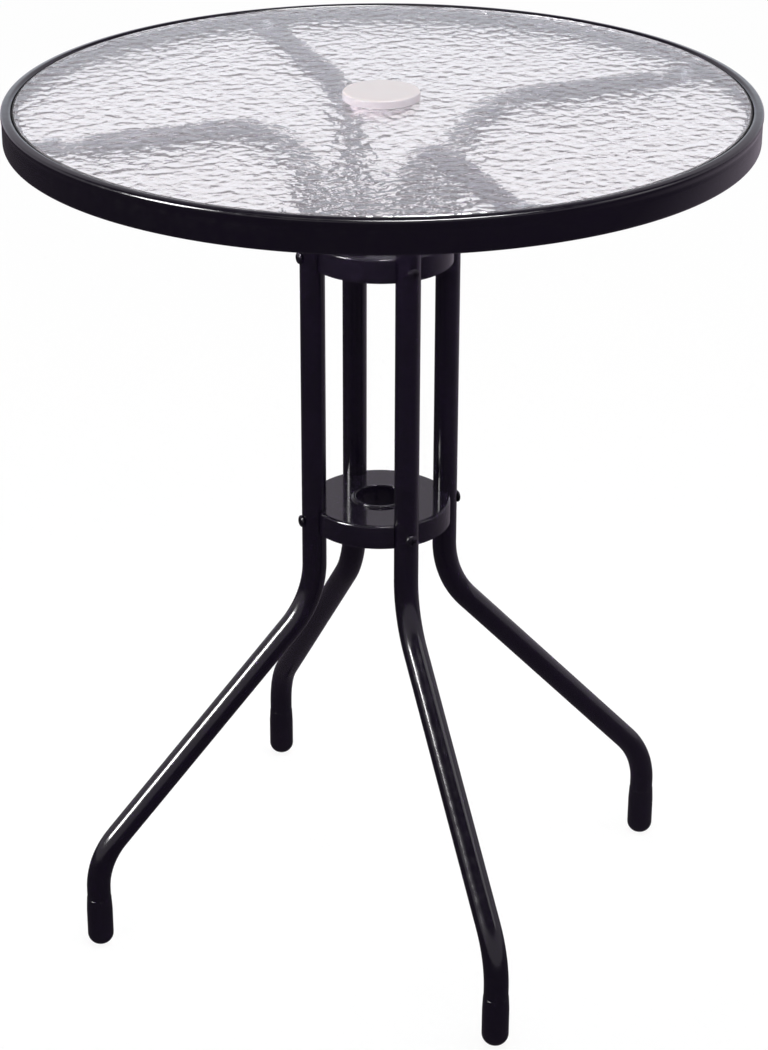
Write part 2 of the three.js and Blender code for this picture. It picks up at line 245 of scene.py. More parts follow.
@dataclass(frozen=True)
class PowderCoat(Finish):
    """Polyester powder coat on steel tube and sheet, stoved: nearly mirror-like, with a fine orange peel.

    The peel breaks each long highlight into grains, and keeps the black from looking like glass.
    """

    name: str = "powder_coated_steel"
    dark: str = "#0D0815"
    light: str = "#120B1B"
    smooth: float = 0.12
    rough: float = 0.22
    grain: float = 1.9  # from one hump of the orange peel to the next
    depth: float = 0.015
    cloud: float = 60.0
    cloud_detail: float = 3.0
    grain_detail: float = 1.0
    patch: float = 7.6  # across a smoother or a rougher patch

    def gloss(self, tree: NodeTree, clouds: Socket) -> Socket:
        """Adds the gloss, in patches smaller than the colour's clouds.

        Args:
            tree: The material's tree.
            clouds: The colour's clouds, which it doesn't follow.

        Returns:
            The roughness.
        """
        patch = {"Vector": place(tree), "Scale": 1 / (self.patch * MM), "Detail": 2.0}
        return super().gloss(tree, add_node(tree, "ShaderNodeTexNoise", patch)["Fac"])


@dataclass(frozen=True)
class MouldedPlastic(Finish):
    """Black plastic that takes its gloss from the polish or the grain of the tool that shaped it."""


@dataclass(frozen=True)
class ZincPlatedSteel(Finish):
    """Cold-headed steel, zinc plated: grey and clouded, with fine turning marks that dull its shine."""

    name: str = "zinc_plated_steel"
    dark: str = "#74797D"
    light: str = "#989DA1"
    smooth: float = 0.4
    rough: float = 0.58
    grain: float = 0.6
    depth: float = 0.01
    metallic: float = 1.0
    cloud: float = 4.0


@dataclass(frozen=True)
class BlackZincSteel(Finish):
    """Cold-headed steel, zinc plated and black passivated: a thin dark lacquer, drawn as a dielectric.

    It gives the screws' heads a soft small glint and hides the metal.
    """

    name: str = "black_zinc_screw_steel"
    dark: str = "#0D0912"
    light: str = "#16111C"
    smooth: float = 0.16
    rough: float = 0.28
    grain: float = 1.5
    depth: float = 0.02
    specular: float = 0.3


@dataclass(frozen=True)
class FrostedPolyethylene(Finish):
    """Low-density polyethylene, moulded without pigment: milky, with light under its skin."""

    name: str = "natural_polyethylene"
    dark: str = "#F6F0F2"
    light: str = "#F4EBEB"
    smooth: float = 0.38
    rough: float = 0.38
    grain: float = 1.2
    depth: float = 0.01
    specular: float = 0.15  # its waxy skin scatters most of what it reflects
    cloud: float = 22.0
    cloud_detail: float = 3.0
    wall: str = "#C8C2C7"  # painted shade: the cap's side takes this darker grey so that it is no brighter than the top
    crown: tuple[float, float] = (0.3, 0.9)  # how far a face points up where the side's painted shade ends
    milk: float = 0.2  # share of the light that goes under the skin
    reach: float = 4.0  # how far it goes
    share: tuple[float, float, float] = (1.0, 0.8, 0.7)  # of that reach for red, green and blue

    def colour(self, tree: NodeTree, clouds: Socket) -> Socket:
        """Adds the colour, with painted shade that makes the side greyer than the top.

        Args:
            tree: The material's tree.
            clouds: The noise that the top's colour follows.

        Returns:
            The colour.
        """
        # Painted shade: the less a face points up, the more it takes the side's grey.
        way = add_node(tree, "ShaderNodeTexCoord")["Normal"]
        up = add_node(tree, "ShaderNodeSeparateXYZ", {"Vector": way})["Z"]
        span = {0: up, 1: self.crown[0], 2: self.crown[1]}
        top = add_node(tree, "ShaderNodeMapRange", span, interpolation_type="SMOOTHSTEP")["Result"]
        ends = {0: top, COLOURS[0]: linear(self.wall), COLOURS[1]: super().colour(tree, clouds)}
        return add_node(tree, "ShaderNodeMix", ends, data_type="RGBA")["Result"]

    def gloss(self, tree: NodeTree, clouds: Socket) -> float:
        """The roughness, which is even."""
        return self.smooth

    def depths(self) -> dict[str | int, object]:
        """What the shader takes for the light under the skin."""
        return {
            "Subsurface Weight": self.milk,
            "Subsurface Radius": self.share,
            "Subsurface Scale": self.reach * MM,
        }


# The hubs' mould is polished: a deep, even black that mirrors the posts.
POLISHED_ABS = MouldedPlastic(
    "polished_black_abs",
    "#110D18",
    "#17121E",
    smooth=0.07,
    rough=0.13,
    grain=14.0,
    depth=0.05,
    specular=0.38,
)
# The caps are softer and a little duller than the tubes.
SATIN_POLYPROPYLENE = MouldedPlastic(
    "satin_black_polypropylene", "#0D0815", "#130C1C", smooth=0.14, rough=0.22, grain=0.9, depth=0.02
)
# The gasket comes from a die with a dry, matt skin, and draws a black line round the glass.
EXTRUDED_RUBBER = MouldedPlastic(
    "extruded_black_rubber",
    "#0C0B0D",
    "#141316",
    smooth=0.55,
    rough=0.7,
    grain=0.5,
    depth=0.02,
    specular=0.4,
)


@dataclass(frozen=True)
class RolledPattern:
    """The hammered pattern that a roller presses into glass. Sizes in millimetres."""

    dimple: float = 9.5  # from one dimple to the next
    wander: float = 0.8  # share of a dimple by which its outline wanders
    softness: float = 0.6  # of the ridges between dimples
    unevenness: float = 1.0  # how much of a plain noise is added to the dimples
    bend: float = 2.2  # dimples to one slow bend of their outlines

    def height(self, tree: NodeTree, at: Socket) -> Socket:
        """Adds the nodes that give the relief, in a shader's tree or a geometry tree.

        Args:
            tree: The tree.
            at: The point, in metres.

        Returns:
            The relief: about 0 in a dimple and about 0.5 on a ridge.
        """
        slow = {"Vector": at, "Scale": 1 / (self.bend * self.dimple * MM), "Detail": 1.0}
        warp = add_node(tree, "ShaderNodeTexNoise", slow)["Color"]
        pushed = {0: warp, "Scale": self.wander * self.dimple * MM}
        shift = add_node(tree, "ShaderNodeVectorMath", pushed, operation="SCALE")["Vector"]
        warped = add_node(tree, "ShaderNodeVectorMath", {0: at, 1: shift}, operation="ADD")["Vector"]
        cell = {"Vector": warped, "Scale": 1 / (self.dimple * MM), "Smoothness": self.softness}
        cells = add_node(tree, "ShaderNodeTexVoronoi", cell, voronoi_dimensions="2D", feature="SMOOTH_F1")
        sides = {0: cells["Distance"], 1: cells["Distance"]}
        bowl = add_node(tree, "ShaderNodeMath", sides, operation="MULTIPLY")["Value"]
        even = {"Vector": at, "Scale": 1 / (self.dimple * MM), "Detail": 0.0}
        hump = add_node(tree, "ShaderNodeTexNoise", even, noise_dimensions="2D")[0]
        total = {0: hump, 1: self.unevenness, 2: bowl}
        return add_node(tree, "ShaderNodeMath", total, operation="MULTIPLY_ADD")["Value"]


@dataclass(frozen=True)
class HammeredGlass:
    """Soda-lime glass, rolled with a hammered pattern and tempered.

    Shallow dimples meet in soft ridges. Light is bent and lost at the ridges, so they draw thin grey
    lines, and whatever is dark under the glass breaks up into pale grey flakes.
    """

    pattern: RolledPattern
    name: str = "hammered_tempered_glass"
    tint: str = "#F0EDF0"
    index: float = 1.52
    roughness: float = 0.03
    clear: float = 0.95  # share of light that passes without being scattered
    ridge: float = 0.45  # mm, which sharpens the relief that the mesh carries
    ripple: float = 4.5  # mm, the roller's finer unevenness
    ripple_depth: float = 0.2  # mm

    def material(self) -> Material:
        """Builds the material."""
        material, tree = new_material(self.name)
        at = place(tree)
        fine = {"Vector": at, "Scale": 1 / (self.ripple * MM), "Detail": 1.0}
        ripple = add_node(tree, "ShaderNodeTexNoise", fine)["Fac"]
        total = {0: ripple, 1: self.ripple_depth / self.ridge, 2: self.pattern.height(tree, at)}
        relief = add_node(tree, "ShaderNodeMath", total, operation="MULTIPLY_ADD")["Value"]
        bump = add_node(tree, "ShaderNodeBump", {"Height": relief, "Distance": self.ridge * MM})
        inputs = {
            "Base Color": linear(self.tint),
            "Roughness": self.roughness,
            "IOR": self.index,
            "Transmission Weight": self.clear,
            "Normal": bump["Normal"],
        }
        glass = add_node(tree, "ShaderNodeBsdfPrincipled", inputs)["BSDF"]
        lamps = add_node(tree, "ShaderNodeBsdfTransparent", {"Color": linear(self.tint)})["BSDF"]
        shadow = add_node(tree, "ShaderNodeLightPath")["Is Shadow Ray"]
        mix = add_node(tree, "ShaderNodeMixShader", {0: shadow, 1: glass, 2: lamps})
        add_node(tree, "ShaderNodeOutputMaterial", {"Surface": mix["Shader"]})
        return material


# Lines and meshes


def rounded(corners: Sequence[Point], radius: float, steps: int = 6, closed: bool = False) -> list[Point]:
    """Rounds the corners of a line with arcs, smaller where a straight is too short.

    Args:
        corners: The line's corners.
        radius: The arcs' radius.
        steps: The straight pieces that stand for each arc.
        closed: Whether the last corner is joined to the first.

    Returns:
        The points of the rounded line.
    """
    line: list[Point] = []
    for i, corner in enumerate(corners):
        here = Vector(corner)
        if not closed and i in (0, len(corners) - 1):
            line.append(corner)
            continue
        arriving = here - Vector(corners[i - 1])
        leaving = Vector(corners[(i + 1) % len(corners)]) - here
        cross = arriving.x * leaving.y - arriving.y * leaving.x
        turn = math.atan2(cross, arriving.dot(leaving))
        if abs(turn) < STRAIGHT:
            line.append(corner)
            continue
        tangent = abs(math.tan(turn / 2))
        room = ROOM * min(arriving.length, leaving.length)
        reach = min(radius * tangent, room)
        along = arriving.normalized()
        start = here - reach * along
        across = Vector((-along.y, along.x)) * math.copysign(reach / tangent, turn)
        centre = start + across
        for step in range(steps + 1):
            spoke = start - centre
            spoke.rotate(Matrix.Rotation(turn * step / steps, 2))
            line.append(tuple(centre + spoke))
    return line


def strip(line: Sequence[Point], thickness: float) -> list[Point]:
    """The closed outline of a bent strip with round edges.

    Args:
        line: The points through the middle of the strip's thickness.
        thickness: The sheet's thickness.

    Returns:
        The outline's points.
    """
    points = [Vector(p) for p in line]
    last = len(points) - 1
    left: list[Vector] = []
    right: list[Vector] = []
    for i, point in enumerate(points):
        arriving = (point - points[max(i - 1, 0)]).normalized()
        leaving = (points[min(i + 1, last)] - point).normalized()
        along = (arriving + leaving).normalized()
        straight = arriving if 0 < i < last else along
        reach = thickness / 2 / along.dot(straight)
        side = Vector((-along.y, along.x)) * reach
        left.append(point + side)
        right.append(point - side)

    def end(point: Vector, outward: Vector) -> list[Vector]:
        """Half a circle round one end of the strip, from its right side to its left."""
        across = Vector((outward.y, -outward.x))
        angles = [math.pi * step / END_STEPS for step in range(1, END_STEPS)]
        return [point + thickness / 2 * (math.cos(a) * across + math.sin(a) * outward) for a in angles]

    first_outward = (points[0] - points[1]).normalized()
    last_outward = (points[-1] - points[-2]).normalized()
    outline = [*right, *end(points[-1], last_outward), *reversed(left), *end(points[0], first_outward)]
    return [tuple(p) for p in outline]


def oval(centre: Point, reach: Point, start: float, end: float, steps: int) -> list[Point]:
    """Points along a part of an ellipse.

    Args:
        centre: The ellipse's centre.
        reach: Its radius along X and along Y.
        start: The angle of its first point, in radians.
        end: The angle of its last point.
        steps: The straight pieces that stand for it.

    Returns:
        The points, both ends included.
    """
    angles = [start + (end - start) * step / steps for step in range(steps + 1)]
    return [(centre[0] + reach[0] * math.cos(a), centre[1] + reach[1] * math.sin(a)) for a in angles]


def arc(centre: Point, radius: float, start: float, end: float, steps: int) -> list[Point]:
    """Points along a part of a circle, as for an oval."""
    return oval(centre, (radius, radius), start, end, steps)


def circle(work: bmesh.types.BMesh, radius: float, height: float, count: int) -> list[Corner]:
    """Adds a ring of vertices round the Z axis.

    Args:
        work: The bmesh that they go into.
        radius: The ring's radius in millimetres.
        height: Its height in millimetres.
        count: How many vertices it has.

    Returns:
        The vertices in turn.
    """
    turns = [2 * math.pi * i / count for i in range(count)]
    spots = [(radius * MM * math.cos(t), radius * MM * math.sin(t), height * MM) for t in turns]
    return [work.verts.new(spot) for spot in spots]


def polygon(centre: Point, radius: float, sides: int) -> list[Point]:
    """The closed outline of a regular polygon, which is a circle if it has many sides."""
    return arc(centre, radius, 0, 2 * math.pi, sides)[:-1]


def finish_mesh(work: bmesh.types.BMesh, name: str, crease: float = CREASE) -> Mesh:
    """Turns a bmesh into a mesh with outward faces, smooth but for its creases.

    Args:
        work: The bmesh, which is freed.
        name: The mesh's name.
        crease: The angle in degrees past which an edge stays sharp.

    Returns:
        The mesh.
    """
    bmesh.ops.recalc_face_normals(work, faces=work.faces)
    mesh = bpy.data.meshes.new(name)
    work.to_mesh(mesh)
    work.free()
    mesh.shade_smooth()
    mesh.set_sharp_from_angle(angle=math.radians(crease))
    return mesh


def revolved(name: str, profile: Sequence[Point], segments: int, crease: float = CREASE) -> Mesh:
    """Turns a profile round the Z axis.

    Args:
        name: The mesh's name.
        profile: Points of radius and height in millimetres. They start and end on the axis, or
            the last is joined to the first.
        segments: The steps round the axis.
        crease: The angle in degrees past which an edge stays sharp.

    Returns:
        The mesh.
    """
    work = bmesh.new()
    rings = [circle(work, r, height, 1 if abs(r) < ON_AXIS else segments) for r, height in profile]
    closed = len(rings[0]) > 1
    pairs = list(zip(rings, rings[1:] + rings[:1] if closed else rings[1:]))
    for low, high in pairs:
        for i in range(segments):
            j = (i + 1) % segments
            corners = [low[i % len(low)], low[j % len(low)]]
            corners += [high[j % len(high)], high[i % len(high)]]
            unique = list(dict.fromkeys(corners))
            if len(unique) > 2:
                work.faces.new(unique)
    return finish_mesh(work, name, crease)


def prism(name: str, outline: Sequence[Point], low: float, high: float, crease: float = CREASE) -> Mesh:
    """Raises a closed outline into a solid.

    Args:
        name: The mesh's name.
        outline: The outline's points in millimetres.
        low: The height of its lower face.
        high: The height of its upper face.
        crease: The angle in degrees past which an edge stays sharp.

    Returns:
        The mesh.
    """
    work = bmesh.new()
    foot = [work.verts.new((x * MM, y * MM, low * MM)) for x, y in outline]
    head = [work.verts.new((x * MM, y * MM, high * MM)) for x, y in outline]
    work.faces.new(foot[::-1])
    work.faces.new(head)
    for i, corner in enumerate(foot):
        j = (i + 1) % len(foot)
        work.faces.new((corner, foot[j], head[j], head[i]))
    return finish_mesh(work, name, crease)


def show(mesh: Mesh) -> Thing:
    """Puts a mesh into the scene as an object at the origin, with the mesh's name.

    Args:
        mesh: The mesh.

    Returns:
        The object.
    """
    thing = bpy.data.objects.new(mesh.name, mesh)
    bpy.context.scene.collection.objects.link(thing)
    return thing


def settled(thing: Thing, crease: float = CREASE) -> Thing:
    """Applies an object's modifiers, so that it is a plain mesh.

    Args:
        thing: The object.
        crease: The angle in degrees past which an edge stays sharp.

    Returns:
        The same object.
    """
    bpy.context.view_layer.update()
    graph = bpy.context.evaluated_depsgraph_get()
    mesh = bpy.data.meshes.new_from_object(thing.evaluated_get(graph))
    thing.modifiers.clear()
    old = thing.data
    thing.data = mesh
    if old.users == 0:
        bpy.data.meshes.remove(old)
    mesh.name = thing.name
    mesh.shade_smooth()
    mesh.set_sharp_from_angle(angle=math.radians(crease))
    return thing


def carved(thing: Thing, cutters: Sequence[Thing]) -> Thing:
    """Cuts other objects out of one, and removes them.

    Args:
        thing: The object that is cut.
        cutters: The objects that are taken away from it.

    Returns:
        The object, as a plain mesh.
    """
    for cutter in cutters:
        step = thing.modifiers.new("cut", "BOOLEAN")
        step.operation = "DIFFERENCE"
        step.solver = "EXACT"
        step.object = cutter
    settled(thing)
    for cutter in cutters:
        bpy.data.objects.remove(cutter)
    return thing


def dress(thing: Thing, material: Material, body: Body, nodes: Sequence[str]) -> None:
    """Gives a finished piece its material, and says what it rides on and stands for.

    Args:
        thing: The piece.
        material: Its finish.
        body: The body that it rides on.
        nodes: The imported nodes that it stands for.
    """
    thing.data.materials.clear()
    thing.data.materials.append(material)
    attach(thing, body.value)
    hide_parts(*nodes)
    LOG.info("%s: %d faces, for %s", thing.name, len(thing.data.polygons), ", ".join(nodes))


# Geometry node trees


class Tree:
    """A geometry node tree with named inputs, which an object takes as a modifier."""

    def __init__(self, name: str, sizes: Sequence[str], counts: Sequence[str] = ()) -> None:
        """Makes the tree with its inputs and one geometry output.

        Args:
            name: The tree's name.
            sizes: The names of its inputs in their order. The material comes after them.
            counts: Those of them that are whole numbers.
        """
        kinds = {key: "NodeSocketInt" if key in counts else "NodeSocketFloat" for key in sizes}
        kinds["Material"] = "NodeSocketMaterial"
        self.tree = bpy.data.node_groups.new(name, "GeometryNodeTree")
        face = self.tree.interface
        face.new_socket("Geometry", in_out="INPUT", socket_type="NodeSocketGeometry")
        self.identifiers = {
            key: face.new_socket(key, in_out="INPUT", socket_type=kind).identifier
            for key, kind in kinds.items()
        }
        face.new_socket("Geometry", in_out="OUTPUT", socket_type="NodeSocketGeometry")
        self.given = add_node(self.tree, "NodeGroupInput")

    def close(self, geometry: Socket) -> None:
        """Ends the tree in real geometry with its material.

        Args:
            geometry: The socket that gives the finished geometry.
        """
        real = add_node(self.tree, "GeometryNodeRealizeInstances", {"Geometry": geometry})
        painted = add_node(
            self.tree,
            "GeometryNodeSetMaterial",
            {"Geometry": real["Geometry"], "Material": self.given["Material"]},
        )
        add_node(self.tree, "NodeGroupOutput", {"Geometry": painted["Geometry"]})

    def run(self, thing: Thing, values: Mapping[str, object], crease: float = CREASE) -> Thing:
        """Runs the tree on an object and keeps the result as its mesh.

        Args:
            thing: The object.
            values: What each named input takes.
            crease: The angle in degrees past which an edge stays sharp.

        Returns:
            The same object.
        """
        step = thing.modifiers.new(self.tree.name, "NODES")
        step.node_group = self.tree
        for key, value in values.items():
            step[self.identifiers[key]] = value
        return settled(thing, crease)


class Ring(Tree):
    """Copies a piece round the table's centre line, on one or more levels."""

    def __init__(self) -> None:
        """Builds the tree."""
        super().__init__("round_the_centre_line", ("Count", "Levels", "Rise"), counts=("Count", "Levels"))
        tree, given = self.tree, self.given
        both = {0: given["Count"], 1: given["Levels"]}
        total = add_node(tree, "ShaderNodeMath", both, operation="MULTIPLY")[0]
        index = add_node(tree, "GeometryNodeInputIndex")["Index"]
        share = add_node(tree, "ShaderNodeMath", {0: index, 1: given["Count"]}, operation="DIVIDE")[0]
        level = add_node(tree, "ShaderNodeMath", {0: share}, operation="FLOOR")[0]
        turn = add_node(tree, "ShaderNodeMath", {0: share, 1: 2 * math.pi}, operation="MULTIPLY")[0]
        height = add_node(tree, "ShaderNodeMath", {0: level, 1: given["Rise"]}, operation="MULTIPLY")[0]
        spot = add_node(tree, "ShaderNodeCombineXYZ", {"Z": height})["Vector"]
        points = add_node(tree, "GeometryNodePoints", {"Count": total, "Position": spot})[0]
        copied = {
            "Points": points,
            "Instance": given["Geometry"],
            "Rotation": add_node(tree, "ShaderNodeCombineXYZ", {"Z": turn})["Vector"],
        }
        self.close(add_node(tree, "GeometryNodeInstanceOnPoints", copied)["Instances"])

    def spread(
        self,
        thing: Thing,
        material: Material | None = None,
        count: int = len(Side),
        levels: int = 1,
        rise: float = 0,
    ) -> Thing:
        """Copies an object round the centre line.

        Args:
            thing: The object.
            material: The copies' material.
            count: The copies on each level.
            levels: The number of levels.
            rise: The height from one level to the next, in millimetres.

        Returns:
            The object, with all its copies in one mesh.
        """
        values = {"Count": count, "Levels": levels, "Rise": rise * MM, "Material": material}
        return self.run(thing, values)


# Sub-assemblies


@dataclass
class RimBand:
    """The rolled strip of steel round the glass: lip, ledge and deep outer wall. Sizes in millimetres."""

    radius: float = 300.0
    top: float = 730.0
    depth: float = 28.0
    sheet: float = 1.2
    lip_width: float = 8.6
    lip_fall: float = 1.5
    lip_bevel: float = 1.4
    lip_face: float = 3.0
    lip_overhang: float = 0.5
    groove_inset: float = 0.1
    groove_slope: float = 2.6
    groove_height: float = 1.2
    groove_rise: float = 2.4
    hem: float = 5.0
    ledge_top: float = 721.9
    ledge_width: float = 4.2
    ledge_foot: float = 717.15
    bend: float = 2.6
    segments: int = 288

    @property
    def seat(self) -> float:
        """The radius of the lip's inner face, round the glass."""
        return self.radius - self.lip_width

    def line(self) -> list[Point]:
        """The line through the middle of the sheet, from the ledge's edge to the wall's hem."""
        half = self.sheet / 2
        seat = self.seat + half
        crest = self.top - half
        lip = self.radius - half
        wall = self.radius - self.lip_overhang - half
        groove = wall - self.groove_inset
        ledge = self.ledge_top - half
        edge = self.seat - self.ledge_width
        lip_foot = crest - self.lip_bevel - self.lip_face
        groove_top = lip_foot - self.groove_slope
        groove_foot = groove_top - self.groove_height
        hem = self.top - self.depth + half
        corners = [
            (edge, self.ledge_foot),
            (edge, ledge),
            (seat, ledge),
            (seat, crest),
            (lip, crest - self.lip_fall),
            (lip, lip_foot),
            (groove, groove_top),
            (groove, groove_foot),
            (wall, groove_foot - self.groove_rise),
            (wall, hem),
            (wall - self.hem, hem),
        ]
        return rounded(corners, self.bend)

    def build(self, coat: Material) -> None:
        """Builds and dresses the rim."""
        outline = strip(self.line(), self.sheet)
        thing = show(revolved("rolled_rim", outline, self.segments, ROUND_CREASE))
        dress(thing, coat, Body.TABLE, ["rim_band"])


@dataclass
class GlassTop:
    """The tempered glass, its gasket and the hole for the pole. Sizes in millimetres."""

    rolled: RolledPattern
    radius: float = 289.9
    bottom: float = 723.5
    top: float = 728.5
    arris: float = 0.6
    hole: float = 25.0
    pitch: float = 2.5  # between the rings of vertices that carry the pattern
    ridge: float = 0.72  # height of the ridges between dimples, under the glass
    ripple: float = 26.0  # between the slow waves of the upper face
    ripple_depth: float = 0.16
    margin: float = 4.0  # plain border of the pattern
    seed: float = 7.0
    gasket_inner: float = 287.8
    gasket_outer: float = 291.1
    gasket_bottom: float = 722.2
    gasket_base: float = 1.0
    gasket_side: float = 0.9
    gasket_top: float = 727.9
    gasket_round: float = 0.3
    gasket_segments: int = 256

    def blank(self) -> Thing:
        """The plain disc, with even triangles on both faces for the pattern."""
        work = bmesh.new()
        inner, outer = self.hole + self.arris, self.radius - self.arris
        count = round((outer - inner) / self.pitch)
        first = round(inner / self.pitch)
        # Even triangles take six corners more on each ring than on the last.
        corners = [6 * (first + i) for i in range(count + 1)]
        radii = [inner + (outer - inner) * i / count for i in range(count + 1)]
        edges: list[list[list[Corner]]] = []
        for height in (self.bottom, self.top):
            rings = [circle(work, r, height, n) for r, n in zip(radii, corners, strict=True)]
            for inside, outside in zip(rings, rings[1:]):
                self.stitch(work, inside, outside)
            edges.append([rings[0], rings[-1]])
        for which, radius in enumerate((self.hole, self.radius)):
            low, high = edges[0][which], edges[1][which]
            foot = circle(work, radius, self.bottom + self.arris, len(low))
            head = circle(work, radius, self.top - self.arris, len(low))
            for a, b in ((low, foot), (foot, head), (head, high)):
                self.stitch(work, a, b)
        return show(finish_mesh(work, "patterned_glass", SOFT_CREASE))

    @staticmethod
    def stitch(work: bmesh.types.BMesh, inside: list[Corner], outside: list[Corner]) -> None:
        """Joins two rings with triangles, whatever their counts.

        Args:
            work: The bmesh.
            inside: The first ring.
            outside: The second ring.
        """
        i = j = 0
        while i < len(inside) or j < len(outside):
            a, b = inside[i % len(inside)], outside[j % len(outside)]
            if (j + 1) * len(inside) <= (i + 1) * len(outside) and j < len(outside):
                j += 1
                work.faces.new((a, b, outside[j % len(outside)]))
            else:
                i += 1
                work.faces.new((a, b, inside[i % len(inside)]))

    def pattern(self) -> Tree:
        """The tree that presses the dimples into the lower face and slow waves into the upper one."""
        edges = ("Outer edge", "Hole edge", "Margin", "Middle", "Seed")
        pattern = Tree("rolled_pattern", ("Ridge", "Ripple", "Ripple depth", *edges))
        tree, given = pattern.tree, pattern.given
        at = add_node(tree, "GeometryNodeInputPosition")["Position"]
        parts = add_node(tree, "ShaderNodeSeparateXYZ", {"Vector": at})
        flat = add_node(tree, "ShaderNodeCombineXYZ", {"X": parts["X"], "Y": parts["Y"]})["Vector"]
        radius = add_node(tree, "ShaderNodeVectorMath", {0: flat}, operation="LENGTH")["Value"]
        sides = {0: given["Outer edge"], 1: radius}, {0: radius, 1: given["Hole edge"]}
        inward, outward = (add_node(tree, "ShaderNodeMath", s, operation="SUBTRACT")[0] for s in sides)
        room = add_node(tree, "ShaderNodeMath", {0: inward, 1: outward}, operation="MINIMUM")[0]
        share = add_node(tree, "ShaderNodeMath", {0: room, 1: given["Margin"]}, operation="DIVIDE")[0]
        mask = add_node(tree, "ShaderNodeMapRange", {"Value": share}, interpolation_type="SMOOTHSTEP")[0]
        # Under the glass a dimple's middle is pressed deepest, so the relief only goes inwards.
        height = self.rolled.height(tree, flat)
        capped = add_node(tree, "ShaderNodeMath", {0: height, 1: 1.0}, operation="MINIMUM")[0]
        pressed = add_node(tree, "ShaderNodeMath", {0: 1.0, 1: capped}, operation="SUBTRACT")[0]
        rise = add_node(tree, "ShaderNodeMath", {0: pressed, 1: given["Ridge"]}, operation="MULTIPLY")[0]
        pace = add_node(tree, "ShaderNodeMath", {0: 1.0, 1: given["Ripple"]}, operation="DIVIDE")[0]
        slow = {"Vector": flat, "W": given["Seed"], "Scale": pace, "Detail": 1.0}
        waves = add_node(tree, "ShaderNodeTexNoise", slow, noise_dimensions="4D")[0]
        swell = {0: waves, 1: given["Ripple depth"]}
        deep = add_node(tree, "ShaderNodeMath", swell, operation="MULTIPLY")[0]
        sag = add_node(tree, "ShaderNodeMath", {0: deep, 1: -1.0}, operation="MULTIPLY")[0]
        halves = {0: parts["Z"], 1: given["Middle"]}
        above = add_node(tree, "ShaderNodeMath", halves, operation="GREATER_THAN")[0]
        ends = {0: above, NUMBERS[0]: rise, NUMBERS[1]: sag}
        chosen = add_node(tree, "ShaderNodeMix", ends, data_type="FLOAT")[0]
        lift = add_node(tree, "ShaderNodeMath", {0: chosen, 1: mask}, operation="MULTIPLY")[0]
        offset = add_node(tree, "ShaderNodeCombineXYZ", {"Z": lift})["Vector"]
        pushed = {"Geometry": given["Geometry"], "Offset": offset}
        pattern.close(add_node(tree, "GeometryNodeSetPosition", pushed)["Geometry"])
        return pattern

    def build(self, glass: Material, rubber: Material) -> None:
        """Builds and dresses the glass and its gasket."""
        values = {
            "Ridge": self.ridge * MM,
            "Ripple": self.ripple * MM,
            "Ripple depth": self.ripple_depth * MM,
            "Outer edge": (self.radius - self.arris) * MM,
            "Hole edge": (self.hole + self.arris) * MM,
            "Margin": self.margin * MM,
            "Middle": (self.bottom + self.top) / 2 * MM,
            "Seed": self.seed,
            "Material": glass,
        }
        pane = self.pattern().run(self.blank(), values, SOFT_CREASE)
        dress(pane, glass, Body.TABLE, ["glass_top"])
        side = self.gasket_outer - self.gasket_side
        base = self.gasket_bottom + self.gasket_base
        corners = [
            (self.gasket_inner, self.gasket_bottom),
            (self.gasket_outer, self.gasket_bottom),
            (self.gasket_outer, self.gasket_top),
            (side, self.gasket_top),
            (side, base),
            (self.gasket_inner, base),
        ]
        outline = rounded(corners, self.gasket_round, 3, closed=True)
        seal = show(revolved("edge_gasket", outline, self.gasket_segments, ROUND_CREASE))
        dress(seal, rubber, Body.TABLE, ["glass_gasket"])


@dataclass
class HolePlug:
    """The plug in the umbrella hole: a thick cap on a hollow barrel. Sizes in millimetres."""

    cap: float = 31.0
    edge: float = 6.6  # height of the cap's side with its rounded shoulder
    shoulder: float = 2.2
    crown: float = 0.4
    top_wall: float = 2.6
    seat: float = 728.8
    foot: float = 714.5
    barrel: float = 24.1
    wall: float = 2.0
    bead: float = 0.4
    bead_foot: float = 721.1
    bead_head: float = 723.5
    arris: float = 0.3  # under the cap's edge
    lead: Point = (0.6, 0.8)  # bevel at the barrel's foot
    bore_arris: float = 0.4
    bore_corner: float = 1.0
    crown_steps: int = 12
    segments: int = 144

    def build(self, plastic: Material) -> None:
        """Builds and dresses the plug."""
        bore = self.barrel - self.wall
        brim = self.seat + self.edge
        ceiling = brim + self.crown - self.top_wall
        flat = self.cap - self.shoulder
        crown = oval((0, brim), (flat, self.crown), 0, math.pi / 2, self.crown_steps)
        profile = [
            (0, ceiling),
            (bore - self.bore_corner, ceiling),
            (bore, ceiling - self.bore_corner),
            (bore, self.foot + self.bore_arris),
            (bore + self.bore_arris, self.foot),
            (self.barrel - self.lead[0], self.foot),
            (self.barrel, self.foot + self.lead[1]),
            (self.barrel, self.bead_foot),
            (self.barrel + self.bead, (self.bead_foot + self.bead_head) / 2),
            (self.barrel, self.bead_head),
            (self.barrel, self.seat),
            (self.cap - self.arris, self.seat),
            (self.cap, self.seat + self.arris),
            *arc((flat, brim - self.shoulder), self.shoulder, 0, math.pi / 2, 8),
            *crown[2:-1],
            (0, brim + self.crown),
        ]
        thing = show(revolved("hole_plug", profile, self.segments, SOFT_CREASE))
        dress(thing, plastic, Body.PLUG, ["umbrella_hole_plug"])


